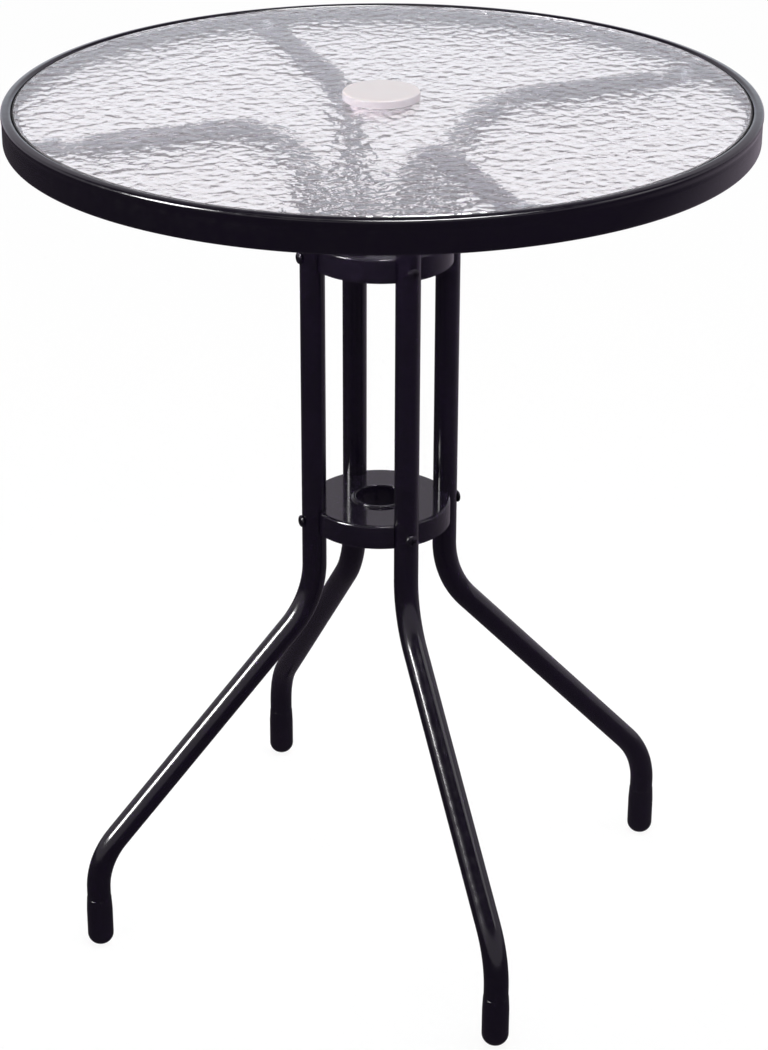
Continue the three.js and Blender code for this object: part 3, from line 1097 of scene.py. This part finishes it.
@dataclass
class Hub:
    """A moulded hub: a dished disc with seats for the tubes, a collar, ribs and pockets. Sizes in mm."""

    level: Level
    radius: float = 59.3
    depth: float = 20.5
    wall: float = 3.0
    edge: float = 2.4
    bore: float = 20.5
    collar: float = 23.3
    collar_lip: float = 2.0
    flat: float = 0.5  # from a fillet to the ring of edges that keeps the flat top's shading flat
    seat: float = 10.55
    rib: float = 2.4
    rib_inset: float = 3.0
    boss: float = 11.0
    boss_start: float = 30.75
    arris: float = 0.6
    bore_lead: float = 1.0
    fillet: float = 0.8  # at the collar's foot
    fillet_middle: float = 0.25  # of its middle point, from the collar and from the disc
    lip_round: float = 0.9
    pocket_round: float = 1.2
    seat_segments: int = 64
    wall_segments: int = 48
    segments: int = 192

    def body(self) -> Thing:
        """The solid disc with its rounded edges and the collar's lip, with the pole's bore."""
        top, bottom = self.depth / 2, -self.depth / 2
        curl = self.lip_round
        lip = top + self.collar_lip - curl
        profile = [
            (self.bore, bottom + self.bore_lead),
            (self.bore + self.arris, bottom),
            (self.radius - self.arris, bottom),
            (self.radius, bottom + self.arris),
            *arc((self.radius - self.edge, top - self.edge), self.edge, 0, math.pi / 2, 8),
            (self.radius - self.edge - self.flat, top),
            (self.collar + self.fillet + self.flat, top),
            (self.collar + self.fillet, top),
            (self.collar + self.fillet_middle, top + self.fillet_middle),
            (self.collar, top + self.fillet),
            *arc((self.collar - curl, lip), curl, 0, math.pi / 2, 5),
            *arc((self.bore + curl, lip), curl, math.pi / 2, math.pi, 5),
        ]
        name = self.level.node + "_moulding"
        return show(revolved(name, profile, self.segments, SOFT_CREASE))

    def pocket(self) -> list[Point]:
        """The outline of one pocket between a boss and a diagonal rib."""
        half = self.rib / 2
        skirt = self.radius - self.wall
        seat_wall = self.seat + self.wall
        start = math.asin(half / self.collar)
        near = math.asin(self.boss / 2 / seat_wall)
        # Where the seat's wall meets the skirt, as an angle round the seat's own centre.
        cosine = (self.radius**2 + seat_wall**2 - skirt**2) / (2 * self.radius * seat_wall)
        far = math.acos(cosine)
        wall_arc = arc((self.radius, 0), seat_wall, math.pi - near, math.pi - far, 8)
        meeting = math.atan2(wall_arc[-1][1], wall_arc[-1][0])
        rib_far = math.pi / 4 - math.asin(half / skirt)
        rib_near = math.pi / 4 - math.asin(half / self.collar)
        outline = [
            (self.collar * math.cos(start), half),
            (self.boss_start, half),
            (self.boss_start, self.boss / 2),
            *wall_arc,
            *arc((0, 0), skirt, meeting, rib_far, 6)[1:],
            *arc((0, 0), self.collar, rib_near, start, 6)[:-1],
        ]
        return rounded(outline, self.pocket_round, 4, closed=True)

    def build(self, plastic: Material, ring: Ring) -> None:
        """Builds and dresses the hub.

        Args:
            plastic: Its finish.
            ring: The tree that copies a cutter round the hub.
        """
        low = -self.depth / 2 - CLEAR
        ceiling = self.depth / 2 - self.wall
        rib_foot = -self.depth / 2 + self.rib_inset
        seat_line = polygon((self.radius, 0), self.seat, self.seat_segments)
        seats = show(prism("seats", seat_line, low, self.depth))
        outline = self.pocket()
        mirrored = [(x, -y) for x, y in reversed(outline)]
        pockets = [show(prism("pocket", line, low, ceiling)) for line in (outline, mirrored)]
        skirt = self.radius - self.wall
        ring_line = [(self.collar, low), (skirt, low), (skirt, rib_foot), (self.collar, rib_foot)]
        recess = show(revolved("recess", ring_line, self.segments))
        wall_line = polygon((self.radius, 0), self.seat + self.wall, self.wall_segments)
        walls = show(prism("walls", wall_line, low - OVERLAP, rib_foot + OVERLAP))
        recess = carved(recess, [ring.spread(walls)])
        cutters = [ring.spread(c) for c in (seats, *pockets)]
        hub = carved(self.body(), [*cutters, recess])
        hub.data.transform(Matrix.Translation((0, 0, self.level.value * MM)))
        dress(hub, plastic, Body.TABLE, [self.level.node])


@dataclass
class Legs:
    """The four bent tubes and their caps. Each tube ends in a flattened tongue. Sizes in millimetres."""

    diameter: float = 20.5
    post: float = 59.3
    foot: float = 260.0
    foot_end: float = 7.8
    knee: float = 299.0
    ankle: float = 82.0
    knee_bend: float = 85.0
    ankle_bend: float = 70.0
    shoulder_bend: float = 72.0
    run: float = 711.05
    swage_start: float = 233.6
    swage_end: float = 257.6
    tongue_end: float = 293.6
    tongue_thickness: float = 4.2
    tongue_width: float = 28.9
    cap_height: float = 46.0
    cap_radius: float = 11.2
    cap_bore: float = 10.4
    cap_mouth: float = 10.6
    cap_lead: float = 12.0
    cap_floor: float = 7.5
    cap_dome: float = 10.2
    cap_flat: float = 1.4
    cap_arris: float = 0.1
    dome_steps: int = 12
    swage_steps: int = 10
    cap_segments: int = 64
    tube_sides: int = 40
    bend_steps: int = 20
    squareness: float = 0.3  # how flat the tongue's faces are pressed: 1 is round and 0 is square

    def line(self) -> list[tuple[float, float, float]]:
        """The tube's centre line on the +X side, as points of radius, height and bend radius."""
        start, length, steps = self.swage_start, self.swage_end - self.swage_start, self.swage_steps
        swage = [start + length * step / steps for step in range(steps + 1)]
        return [
            (self.foot, self.foot_end, 0),
            (self.foot, self.ankle, self.ankle_bend),
            (self.post, self.knee, self.knee_bend),
            (self.post, self.run, self.shoulder_bend),
            *((x, self.run, 0) for x in swage),
            (self.tongue_end, self.run, 0),
        ]

    def path(self, name: str) -> Thing:
        """The centre line as a mesh whose points hold their bend radius."""
        line = self.line()
        points = [(x * MM, 0, z * MM) for x, z, _ in line]
        edges = [(i, i + 1) for i in range(len(line) - 1)]
        mesh = bpy.data.meshes.new(name)
        mesh.from_pydata(points, edges, [])
        bends = mesh.attributes.new("bend", "FLOAT", "POINT")
        bends.data.foreach_set("value", [bend * MM for _, _, bend in line])
        return show(mesh)

    def tube(self) -> Tree:
        """The tree that runs a tube along the centre line, flattens its end and turns it to its side."""
        tongue = ("Swage start", "Swage length", "Tongue thickness", "Tongue width")
        bent = Tree("bent_tube", ("Diameter", "Run height", *tongue, "Sides", "Turn"), counts=("Sides",))
        tree, given = bent.tree, bent.given
        radius = add_node(tree, "ShaderNodeMath", {0: given["Diameter"], 1: 2.0}, operation="DIVIDE")[0]
        curve = add_node(tree, "GeometryNodeMeshToCurve", {"Mesh": given["Geometry"]})["Curve"]
        bend = add_node(tree, "GeometryNodeInputNamedAttribute", {"Name": "bend"}, data_type="FLOAT")
        corners = {"Curve": curve, "Radius": bend["Attribute"], "Count": self.bend_steps}
        path = add_node(tree, "GeometryNodeFilletCurve", corners, mode="POLY")["Curve"]
        section = {"Resolution": given["Sides"], "Radius": radius}
        circle = add_node(tree, "GeometryNodeCurvePrimitiveCircle", section, mode="RADIUS")["Curve"]
        swept = {"Curve": path, "Profile Curve": circle, "Fill Caps": True}
        skin = add_node(tree, "GeometryNodeCurveToMesh", swept)["Mesh"]
        position = add_node(tree, "GeometryNodeInputPosition")["Position"]
        at = add_node(tree, "ShaderNodeSeparateXYZ", {"Vector": position})
        rise = {0: at["Z"], 1: given["Run height"]}
        above = add_node(tree, "ShaderNodeMath", rise, operation="SUBTRACT")[0]
        way = {0: at["X"], 1: given["Swage start"]}
        past = add_node(tree, "ShaderNodeMath", way, operation="SUBTRACT")[0]
        along = {0: past, 1: given["Swage length"]}
        share = add_node(tree, "ShaderNodeMath", along, operation="DIVIDE")[0]
        eased = add_node(tree, "ShaderNodeMapRange", {"Value": share}, interpolation_type="SMOOTHSTEP")[0]
        away = add_node(tree, "ShaderNodeMath", {0: above}, operation="ABSOLUTE")[0]
        near = {0: away, 1: given["Diameter"]}
        near_top = add_node(tree, "ShaderNodeMath", near, operation="LESS_THAN")[0]
        flat = add_node(tree, "ShaderNodeMath", {0: eased, 1: near_top}, operation="MULTIPLY")[0]
        halved = {0: given["Tongue thickness"], 1: 2.0}
        thick = add_node(tree, "ShaderNodeMath", halved, operation="DIVIDE")[0]
        widths = {0: given["Tongue width"], 1: given["Diameter"]}
        wide = add_node(tree, "ShaderNodeMath", widths, operation="DIVIDE")[0]
        # Squeezed between flat jaws, the section keeps its sides round and its faces go level.
        power, half, widen = (
            add_node(tree, "ShaderNodeMix", {0: flat, NUMBERS[0]: a, NUMBERS[1]: b}, data_type="FLOAT")[0]
            for a, b in ((1.0, self.squareness), (radius, thick), (1.0, wide))
        )
        level = add_node(tree, "ShaderNodeMath", {0: away, 1: radius}, operation="DIVIDE")[0]
        squared = add_node(tree, "ShaderNodeMath", {0: level, 1: power}, operation="POWER")[0]
        squeezed = add_node(tree, "ShaderNodeMath", {0: squared, 1: half}, operation="MULTIPLY")[0]
        side = add_node(tree, "ShaderNodeMath", {0: above}, operation="SIGN")[0]
        signed = add_node(tree, "ShaderNodeMath", {0: squeezed, 1: side}, operation="MULTIPLY")[0]
        heights = {0: given["Run height"], 1: signed}
        new_spot = {
            "X": at["X"],
            "Y": add_node(tree, "ShaderNodeMath", {0: at["Y"], 1: widen}, operation="MULTIPLY")[0],
            "Z": add_node(tree, "ShaderNodeMath", heights, operation="ADD")[0],
        }
        pressed = {
            "Geometry": skin,
            "Selection": add_node(tree, "ShaderNodeMath", {0: flat, 1: 0.0}, operation="GREATER_THAN")[0],
            "Position": add_node(tree, "ShaderNodeCombineXYZ", new_spot)["Vector"],
        }
        turned = {
            "Geometry": add_node(tree, "GeometryNodeSetPosition", pressed)["Geometry"],
            "Rotation": add_node(tree, "ShaderNodeCombineXYZ", {"Z": given["Turn"]})["Vector"],
        }
        bent.close(add_node(tree, "GeometryNodeTransform", turned)["Geometry"])
        return bent

    def cap(self) -> Mesh:
        """One foot cap on the +X side: a cup with a domed floor that narrows a little to its mouth."""
        reach = self.cap_radius - self.cap_flat
        steps = self.dome_steps
        dome = [
            (self.cap_flat + reach * math.sin(a), self.cap_dome * (1 - math.cos(a)))
            for a in (math.pi / 2 * step / steps for step in range(1, steps + 1))
        ]
        mouth = self.cap_height
        profile = [
            (0, 0),
            (self.cap_flat, 0),
            *dome,
            (self.cap_radius, mouth - self.cap_lead),
            (self.cap_mouth, mouth - self.cap_arris),
            (self.cap_mouth - self.cap_arris, mouth),
            (self.cap_bore, mouth),
            (self.cap_bore, self.cap_floor),
            (0, self.cap_floor),
        ]
        mesh = revolved("foot_caps", profile, self.cap_segments, SOFT_CREASE)
        mesh.transform(Matrix.Translation((self.foot * MM, 0, 0)))
        return mesh

    def build(self, coat: Material, plastic: Material, ring: Ring) -> None:
        """Builds and dresses the four legs and their caps.

        Args:
            coat: The tubes' finish.
            plastic: The caps' finish.
            ring: The tree that copies the cap to each side.
        """
        tube = self.tube()
        for side in Side:
            leg = self.path(side.node("bent_tube"))
            values = {
                "Diameter": self.diameter * MM,
                "Run height": self.run * MM,
                "Swage start": self.swage_start * MM,
                "Swage length": (self.swage_end - self.swage_start) * MM,
                "Tongue thickness": self.tongue_thickness * MM,
                "Tongue width": self.tongue_width * MM,
                "Sides": self.tube_sides,
                "Turn": side.value * math.pi / 2,
                "Material": coat,
            }
            tube.run(leg, values, ROUND_CREASE)
            dress(leg, coat, Body.TABLE, [side.node("leg")])
        caps = ring.spread(show(self.cap()), plastic)
        dress(caps, plastic, Body.TABLE, Side.nodes("foot_cap"))


@dataclass
class HubScrews:
    """The pan-head screws through posts and hubs, with their cross recesses. Sizes in millimetres."""

    seat: float = 69.85
    tip: float = 35.25
    shank: float = 3.0
    head: float = 5.0
    head_height: float = 3.0
    recess: float = 5.4
    slot: float = 1.1
    recess_depth: float = 1.7
    point: Point = (0.8, 2.0)  # bevel at the tip
    brim: float = 0.9  # height of the head's straight side
    arris: Point = (0.2, 0.25)  # bevel under the head
    dome_steps: int = 8
    segments: int = 48

    def one(self) -> Thing:
        """One screw on the +X side, at height zero."""
        tip = self.tip - self.seat
        rise = self.head_height - self.brim
        dome = oval((0, self.brim), (self.head, rise), 0, math.pi / 2, self.dome_steps)
        profile = [
            (0, tip),
            (self.shank - self.point[0], tip),
            (self.shank, tip + self.point[1]),
            (self.shank, 0),
            (self.head - self.arris[0], 0),
            (self.head, self.arris[1]),
            (self.head, self.brim),
            *dome[1:-1],
            (0, self.head_height),
        ]
        thing = show(revolved("hub_screws", profile, self.segments, SOFT_CREASE))
        low = self.head_height - self.recess_depth
        long, thin = self.recess / 2, self.slot / 2
        cross: list[Point] = []
        arm = [(thin, thin), (thin, long), (-thin, long)]
        for _ in range(4):
            cross += arm
            arm = [(-y, x) for x, y in arm]
        cutter = show(prism("recess", cross, low, self.head_height + OVERLAP))
        carved(thing, [cutter])
        thing.data.transform(
            Matrix.Translation((self.seat * MM, 0, 0)) @ Matrix.Rotation(math.pi / 2, 4, "Y")
        )
        return thing

    def build(self, steel: Material, ring: Ring) -> None:
        """Builds and dresses the eight screws.

        Args:
            steel: Their finish.
            ring: The tree that copies a screw to each side and hub.
        """
        screws = self.one()
        rise = Level.UPPER.value - Level.LOWER.value
        ring.spread(screws, steel, levels=len(Level), rise=rise)
        screws.data.transform(Matrix.Translation((0, 0, Level.LOWER.value * MM)))
        names = [name for level in Level for name in Side.nodes(level.node + "_screw")]
        dress(screws, steel, Body.TABLE, names)


@dataclass
class RimFastenings:
    """Brackets under the ledge, with the bolts and nuts that hold the tongues. Sizes in millimetres."""

    wall: float = 297.0
    plate: float = 2.5
    width: float = 30.0
    reach: float = 36.0
    top: float = 715.95
    foot: float = 703.5
    gap: float = 0.3
    bolt_at: float = 271.0
    bolt: float = 3.0
    flats: float = 10.0
    head_top: float = 708.65
    head_height: float = 4.0
    nut_foot: float = 716.25
    nut_height: float = 5.0
    bolt_end: float = 0.8
    fold: float = 2.4
    trim: float = 20.0  # width of the ring that trims the brackets to the rim's curve
    hole_gap: float = 0.3
    thread_gap: float = 0.2
    bevel: float = 0.5
    chamfer: float = 30.0  # degrees
    chamfer_inset: float = 0.2
    bolt_segments: int = 40
    chamfer_segments: int = 64
    trim_segments: int = 288
    bolt_crease: float = 30.0
    cutter: Point = (4.0, 3.0)  # how far the chamfer's cutter stands past the corners and the faces

    def bracket(self) -> Thing:
        """One folded bracket on the +X side."""
        half = self.plate / 2
        outer = self.wall - self.gap - half
        line = [(self.wall - self.reach, self.top - half), (outer, self.top - half), (outer, self.foot)]
        outline = strip(rounded(line, self.fold), self.plate)
        mesh = prism("rim_brackets", outline, -self.width / 2, self.width / 2, SOFT_CREASE)
        # The outline lies in X and Z, so what was raised along Z turns to Y.
        mesh.transform(Matrix.Rotation(math.pi / 2, 4, "X"))
        thing = show(mesh)
        gauge = [
            (self.wall - self.gap, self.foot - CLEAR),
            (self.wall + self.trim, self.foot - CLEAR),
            (self.wall + self.trim, self.top + CLEAR),
            (self.wall - self.gap, self.top + CLEAR),
        ]
        trim = show(revolved("trim", gauge, self.trim_segments))
        line = polygon((self.bolt_at, 0), self.bolt + self.hole_gap, self.bolt_segments)
        hole = show(prism("hole", line, self.foot, self.top + CLEAR))
        return carved(thing, [trim, hole])

    def hexagon(self, name: str, low: float, high: float, upper: bool) -> Thing:
        """A hexagonal block on the bolt's axis, with the corners of one face turned off.

        Args:
            name: The object's name.
            low: The height of its lower face.
            high: The height of its upper face.
            upper: Whether it is the upper face that has its corners turned off, and not the lower.

        Returns:
            The block.
        """
        corner = self.flats / math.sqrt(3)
        line = polygon((self.bolt_at, 0), corner, 6)
        block = show(prism(name, line, low, high))
        face = self.flats / 2 - self.chamfer_inset
        far = corner + self.cutter[0]
        past = self.cutter[1]
        slope = (far - face) * math.tan(math.radians(self.chamfer))
        profile = [(face, low), (face, low - past), (far, low - past), (far, low + slope)]
        if upper:
            profile = [(face, high), (far, high - slope), (far, high + past), (face, high + past)]
        chamfer = revolved("chamfer", profile, self.chamfer_segments)
        chamfer.transform(Matrix.Translation((self.bolt_at * MM, 0, 0)))
        return carved(block, [show(chamfer)])

    def build(self, coat: Material, zinc: Material, ring: Ring) -> None:
        """Builds and dresses the brackets, bolts and nuts.

        Args:
            coat: The brackets' finish.
            zinc: The bolts' and nuts' finish.
            ring: The tree that copies a piece to each side.
        """
        brackets = ring.spread(self.bracket(), coat)
        dress(brackets, coat, Body.TABLE, Side.nodes("rim_bracket"))

        low = self.head_top - self.head_height
        bolts = self.hexagon("rim_bolts", low, self.head_top, upper=False)
        end = self.nut_foot + self.nut_height + self.bolt_end
        profile = [
            (0, self.head_top - self.bevel),
            (self.bolt, self.head_top - self.bevel),
            (self.bolt, end - self.bevel),
            (self.bolt - self.bevel, end),
            (0, end),
        ]
        shank = revolved("shank", profile, self.bolt_segments, SOFT_CREASE)
        shank.transform(Matrix.Translation((self.bolt_at * MM, 0, 0)))
        work = bmesh.new()
        work.from_mesh(bolts.data)
        work.from_mesh(shank)
        bolts.data = finish_mesh(work, "rim_bolts", self.bolt_crease)
        ring.spread(bolts, zinc)
        dress(bolts, zinc, Body.TABLE, Side.nodes("rim_bolt"))

        high = self.nut_foot + self.nut_height
        nuts = self.hexagon("rim_nuts", self.nut_foot, high, upper=True)
        line = polygon((self.bolt_at, 0), self.bolt + self.thread_gap, self.bolt_segments)
        hole = show(prism("hole", line, self.nut_foot - OVERLAP, high + OVERLAP))
        ring.spread(carved(nuts, [hole]), zinc)
        dress(nuts, zinc, Body.TABLE, Side.nodes("rim_nut"))


# Studio


@dataclass
class Lamp:
    """A rectangular lamp that points at the table. Sizes in metres and angles in degrees."""

    name: str
    azimuth: float
    elevation: float
    distance: float
    width: float
    height: float
    radiance: float
    gloss_only: bool = False  # seen in gloss and glass alone, so that a bright strip lights nothing
    aim: float = 0.4

    def build(self) -> None:
        """Builds the lamp."""
        data = bpy.data.lights.new(self.name, "AREA")
        data.shape = "RECTANGLE"
        data.size, data.size_y = self.width, self.height
        # A flat lamp of power P and area A has a radiance of P / (pi * A).
        data.energy = self.radiance * math.pi * self.width * self.height
        lamp = bpy.data.objects.new(self.name, data)
        bpy.context.scene.collection.objects.link(lamp)
        a, e = math.radians(self.azimuth), math.radians(self.elevation)
        away = Vector((math.sin(a) * math.cos(e), -math.cos(a) * math.cos(e), math.sin(e)))
        lamp.location = Vector((0, 0, self.aim)) + self.distance * away
        lamp.rotation_euler = (-away).to_track_quat("-Z", "Y").to_euler()
        lamp.visible_diffuse = not self.gloss_only


@dataclass
class Studio:
    """A pale floor, an even room round it and a few soft lamps. Sizes in metres unless it says mm."""

    floor_radius: float = 30.0
    floor_level: float = -0.0005
    floor_thickness: float = 0.01
    floor_segments: int = 96
    paper: float = 90.0  # mm across one cloud of the paper
    paper_dark: str = "#F4F4F4"
    paper_light: str = "#F7F7F7"
    white: float = 1.04  # strength of the floor's own white
    white_share: float = 0.86  # of the floor's own white, beside what the lamps give it
    plain: float = 0.88  # the room's level where no lamp is
    sweep: tuple[float, float, float] = (2.0, 0.9, 0.0)  # middle of the paler floor, at the right
    sweep_inner: float = 0.5  # it is palest to here in gloss, and fades to the dark floor
    sweep_outer: float = 2.4
    sweep_level: float = 0.42
    far: tuple[float, float] = (3.0, 5.0)  # between these ways back the floor turns white in gloss
    dark: float = 0.08  # what gloss sees of the floor in front
    cast: str = "#F0E2F4"  # colour of the floor in gloss
    backdrop: str = "#F0F5FF"
    behind: tuple[float, float, float] = (0.35, 0.94, 0.0)  # away from the camera, to the backdrop
    wall: str = "#CBC5CE"  # above the backdrop
    ceiling: str = "#4E4953"
    haze: str = "#CFD1D6"  # what is seen above the backdrop through glass
    backdrop_top: Point = (0.32, 0.27)  # sines of the heights between which it ends, at some 17 degrees
    wall_top: Point = (0.5, 0.64)
    backdrop_side: Point = (0.7, 0.92)  # cosines of the ways from its middle between which it ends

    def rays(self, tree: NodeTree) -> tuple[Socket, Socket, Socket]:
        """Tells the rays that see the background apart.

        Args:
            tree: The material's or the world's tree.

        Returns:
            1 for the camera's rays, for those through glass and for those of gloss, else 0.
        """
        path = add_node(tree, "ShaderNodeLightPath")
        both = {0: path["Is Glossy Ray"], 1: path["Is Transmission Ray"]}
        gloss = add_node(tree, "ShaderNodeMath", both, operation="SUBTRACT", use_clamp=True)
        return path["Is Camera Ray"], path["Is Transmission Ray"], gloss["Value"]

    def floor(self) -> None:
        """Builds the floor, which keeps the table's shadow."""
        radius = self.floor_radius / MM
        top = self.floor_level / MM
        foot = top - self.floor_thickness / MM
        profile = [(0, top), (radius, top), (radius, foot), (0, foot)]
        floor = show(revolved("studio_floor", profile, self.floor_segments))
        material, tree = new_material("white_paper_floor")
        noise = {"Vector": place(tree), "Scale": 1 / (self.paper * MM), "Detail": 4.0}
        paper = add_node(tree, "ShaderNodeTexNoise", noise)["Fac"]
        ends = {0: paper, COLOURS[0]: linear(self.paper_dark), COLOURS[1]: linear(self.paper_light)}
        colour = add_node(tree, "ShaderNodeMix", ends, data_type="RGBA")["Result"]
        lit = add_node(tree, "ShaderNodeBsdfDiffuse", {"Color": colour, "Roughness": 0.0})["BSDF"]
        white = add_node(tree, "ShaderNodeEmission", {"Strength": self.white})["Emission"]
        camera, through, gloss = self.rays(tree)
        sight = add_node(tree, "ShaderNodeMath", {0: camera, 1: through}, operation="MAXIMUM")[0]
        share = add_node(tree, "ShaderNodeMath", {0: sight, 1: self.white_share}, operation="MULTIPLY")[0]
        seen = add_node(tree, "ShaderNodeMixShader", {0: share, 1: lit, 2: white})["Shader"]
        ends = {0: place(tree), 1: self.sweep}
        away = add_node(tree, "ShaderNodeVectorMath", ends, operation="DISTANCE")["Value"]
        span = {0: away, 1: self.sweep_inner, 2: self.sweep_outer, 3: self.sweep_level, 4: self.dark}
        pool = add_node(tree, "ShaderNodeMapRange", span, interpolation_type="SMOOTHSTEP")["Result"]
        ends = {0: place(tree), 1: self.behind}
        back = add_node(tree, "ShaderNodeVectorMath", ends, operation="DOT_PRODUCT")["Value"]
        span = {0: back, 1: self.far[0], 2: self.far[1]}
        far = add_node(tree, "ShaderNodeMapRange", span, interpolation_type="SMOOTHSTEP")["Result"]
        level = add_node(tree, "ShaderNodeMath", {0: pool, 1: far}, operation="MAXIMUM")["Value"]
        inputs = {"Color": linear(self.cast), "Strength": level}
        mirrored = add_node(tree, "ShaderNodeEmission", inputs)["Emission"]
        mix = add_node(tree, "ShaderNodeMixShader", {0: gloss, 1: seen, 2: mirrored})
        add_node(tree, "ShaderNodeOutputMaterial", {"Surface": mix["Shader"]})
        floor.data.materials.append(material)

    def room(self) -> None:
        """Builds the world: white where it is seen as a backdrop, and plain where it lights."""
        world = bpy.data.worlds.new("studio_room")
        bpy.context.scene.world = world
        world.use_nodes = True
        tree = world.node_tree
        tree.nodes.clear()
        camera, through, gloss = self.rays(tree)
        way = add_node(tree, "ShaderNodeTexCoord")["Generated"]
        height = add_node(tree, "ShaderNodeSeparateXYZ", {"Vector": way})["Z"]
        span = {0: height, 1: self.backdrop_top[0], 2: self.backdrop_top[1]}
        under = add_node(tree, "ShaderNodeMapRange", span, interpolation_type="SMOOTHSTEP")["Result"]
        span = {0: height, 1: self.wall_top[0], 2: self.wall_top[1]}
        over = add_node(tree, "ShaderNodeMapRange", span, interpolation_type="SMOOTHSTEP")["Result"]
        ends = {0: over, COLOURS[0]: linear(self.wall), COLOURS[1]: linear(self.ceiling)}
        upper = add_node(tree, "ShaderNodeMix", ends, data_type="RGBA")["Result"]
        ends = {0: way, 1: self.behind}
        facing = add_node(tree, "ShaderNodeVectorMath", ends, operation="DOT_PRODUCT")["Value"]
        span = {0: facing, 1: self.backdrop_side[0], 2: self.backdrop_side[1]}
        before = add_node(tree, "ShaderNodeMapRange", span, interpolation_type="SMOOTHSTEP")["Result"]
        share = add_node(tree, "ShaderNodeMath", {0: under, 1: before}, operation="MULTIPLY")["Value"]
        plain = add_node(tree, "ShaderNodeBackground", {"Strength": self.plain})["Background"]
        white = add_node(tree, "ShaderNodeBackground", {"Color": linear("#FFFFFF")})["Background"]
        light = add_node(tree, "ShaderNodeMixShader", {0: camera, 1: plain, 2: white})["Shader"]
        for rays, above in ((through, linear(self.haze)), (gloss, upper)):
            ends = {0: share, COLOURS[0]: above, COLOURS[1]: linear(self.backdrop)}
            walls = add_node(tree, "ShaderNodeMix", ends, data_type="RGBA")["Result"]
            seen = add_node(tree, "ShaderNodeBackground", {"Color": walls})["Background"]
            light = add_node(tree, "ShaderNodeMixShader", {0: rays, 1: light, 2: seen})["Shader"]
        add_node(tree, "ShaderNodeOutputWorld", {"Surface": light})

    def build(self) -> None:
        """Builds the floor, the room and the lamps."""
        self.floor()
        self.room()
        # Name, azimuth, elevation, distance, width, height and radiance.
        lamps = [
            Lamp("left_strip", -85.5, 31, 2.6, 0.75, 1.25, 55, gloss_only=True),
            Lamp("front_strip", 9, 71, 2.4, 1.0, 0.5, 55, gloss_only=True),
            Lamp("front_fill", 0, 57, 2.4, 0.8, 0.5, 0.8),
            Lamp("top_fill", -20, 84, 2.8, 2.0, 2.0, 0.6),
            Lamp("right_fill", 60, 35, 3.0, 1.2, 1.2, 1.6),
        ]
        for lamp in lamps:
            lamp.build()
        bpy.context.scene.view_settings.view_transform = "Standard"


@dataclass
class Viewpoint:
    """The photograph's viewpoint, found from the rim, the hubs and the feet."""

    azimuth: float = -20.454
    pitch: float = 24.951
    roll: float = -0.3047
    distance: float = 2.3602
    target: tuple[float, float, float] = (-0.03969, 0.0148, 0.35669)
    focal: float = 2785.89  # in pixels of the photograph
    frame: tuple[float, float] = (768.0, 1050.0)
    centre: float = 330.0  # the pixel column under the lens's axis
    sensor: float = 36.0
    clip: Point = (0.05, 100.0)

    def build(self) -> None:
        """Builds the camera."""
        a, e = math.radians(self.azimuth), math.radians(self.pitch)
        back = Vector((math.sin(a) * math.cos(e), -math.cos(a) * math.cos(e), math.sin(e)))
        level = Vector((math.cos(a), math.sin(a), 0))
        up = back.cross(level)
        turn = math.radians(self.roll)
        right = math.cos(turn) * level + math.sin(turn) * up
        upright = -math.sin(turn) * level + math.cos(turn) * up
        data = bpy.data.cameras.new("photograph")
        longest = max(self.frame)
        data.sensor_width = self.sensor
        data.lens = self.focal / longest * self.sensor
        data.shift_x = (self.frame[0] / 2 - self.centre) / longest
        data.clip_start, data.clip_end = self.clip
        camera = bpy.data.objects.new("photograph", data)
        bpy.context.scene.collection.objects.link(camera)
        turned = Matrix((right, upright, back)).transposed().to_4x4()
        spot = Vector(self.target) + self.distance * back
        camera.matrix_world = Matrix.Translation(spot) @ turned
        bpy.context.scene.camera = camera


def main() -> None:
    """Builds the table's dress, the studio and the camera."""
    logging.basicConfig(level=logging.INFO, format="%(name)s: %(message)s")
    Viewpoint().build()
    Studio().build()
    coat = PowderCoat().material()
    plastic = POLISHED_ABS.material()
    ring = Ring()
    RimBand().build(coat)
    rolled = RolledPattern()
    glass = HammeredGlass(rolled).material()
    GlassTop(rolled).build(glass, EXTRUDED_RUBBER.material())
    HolePlug().build(FrostedPolyethylene().material())
    for level in Level:
        Hub(level).build(plastic, ring)
    Legs().build(coat, SATIN_POLYPROPYLENE.material(), ring)
    HubScrews().build(BlackZincSteel().material(), ring)
    RimFastenings().build(coat, ZincPlatedSteel().material(), ring)


if __name__ == "__main__":
    main()
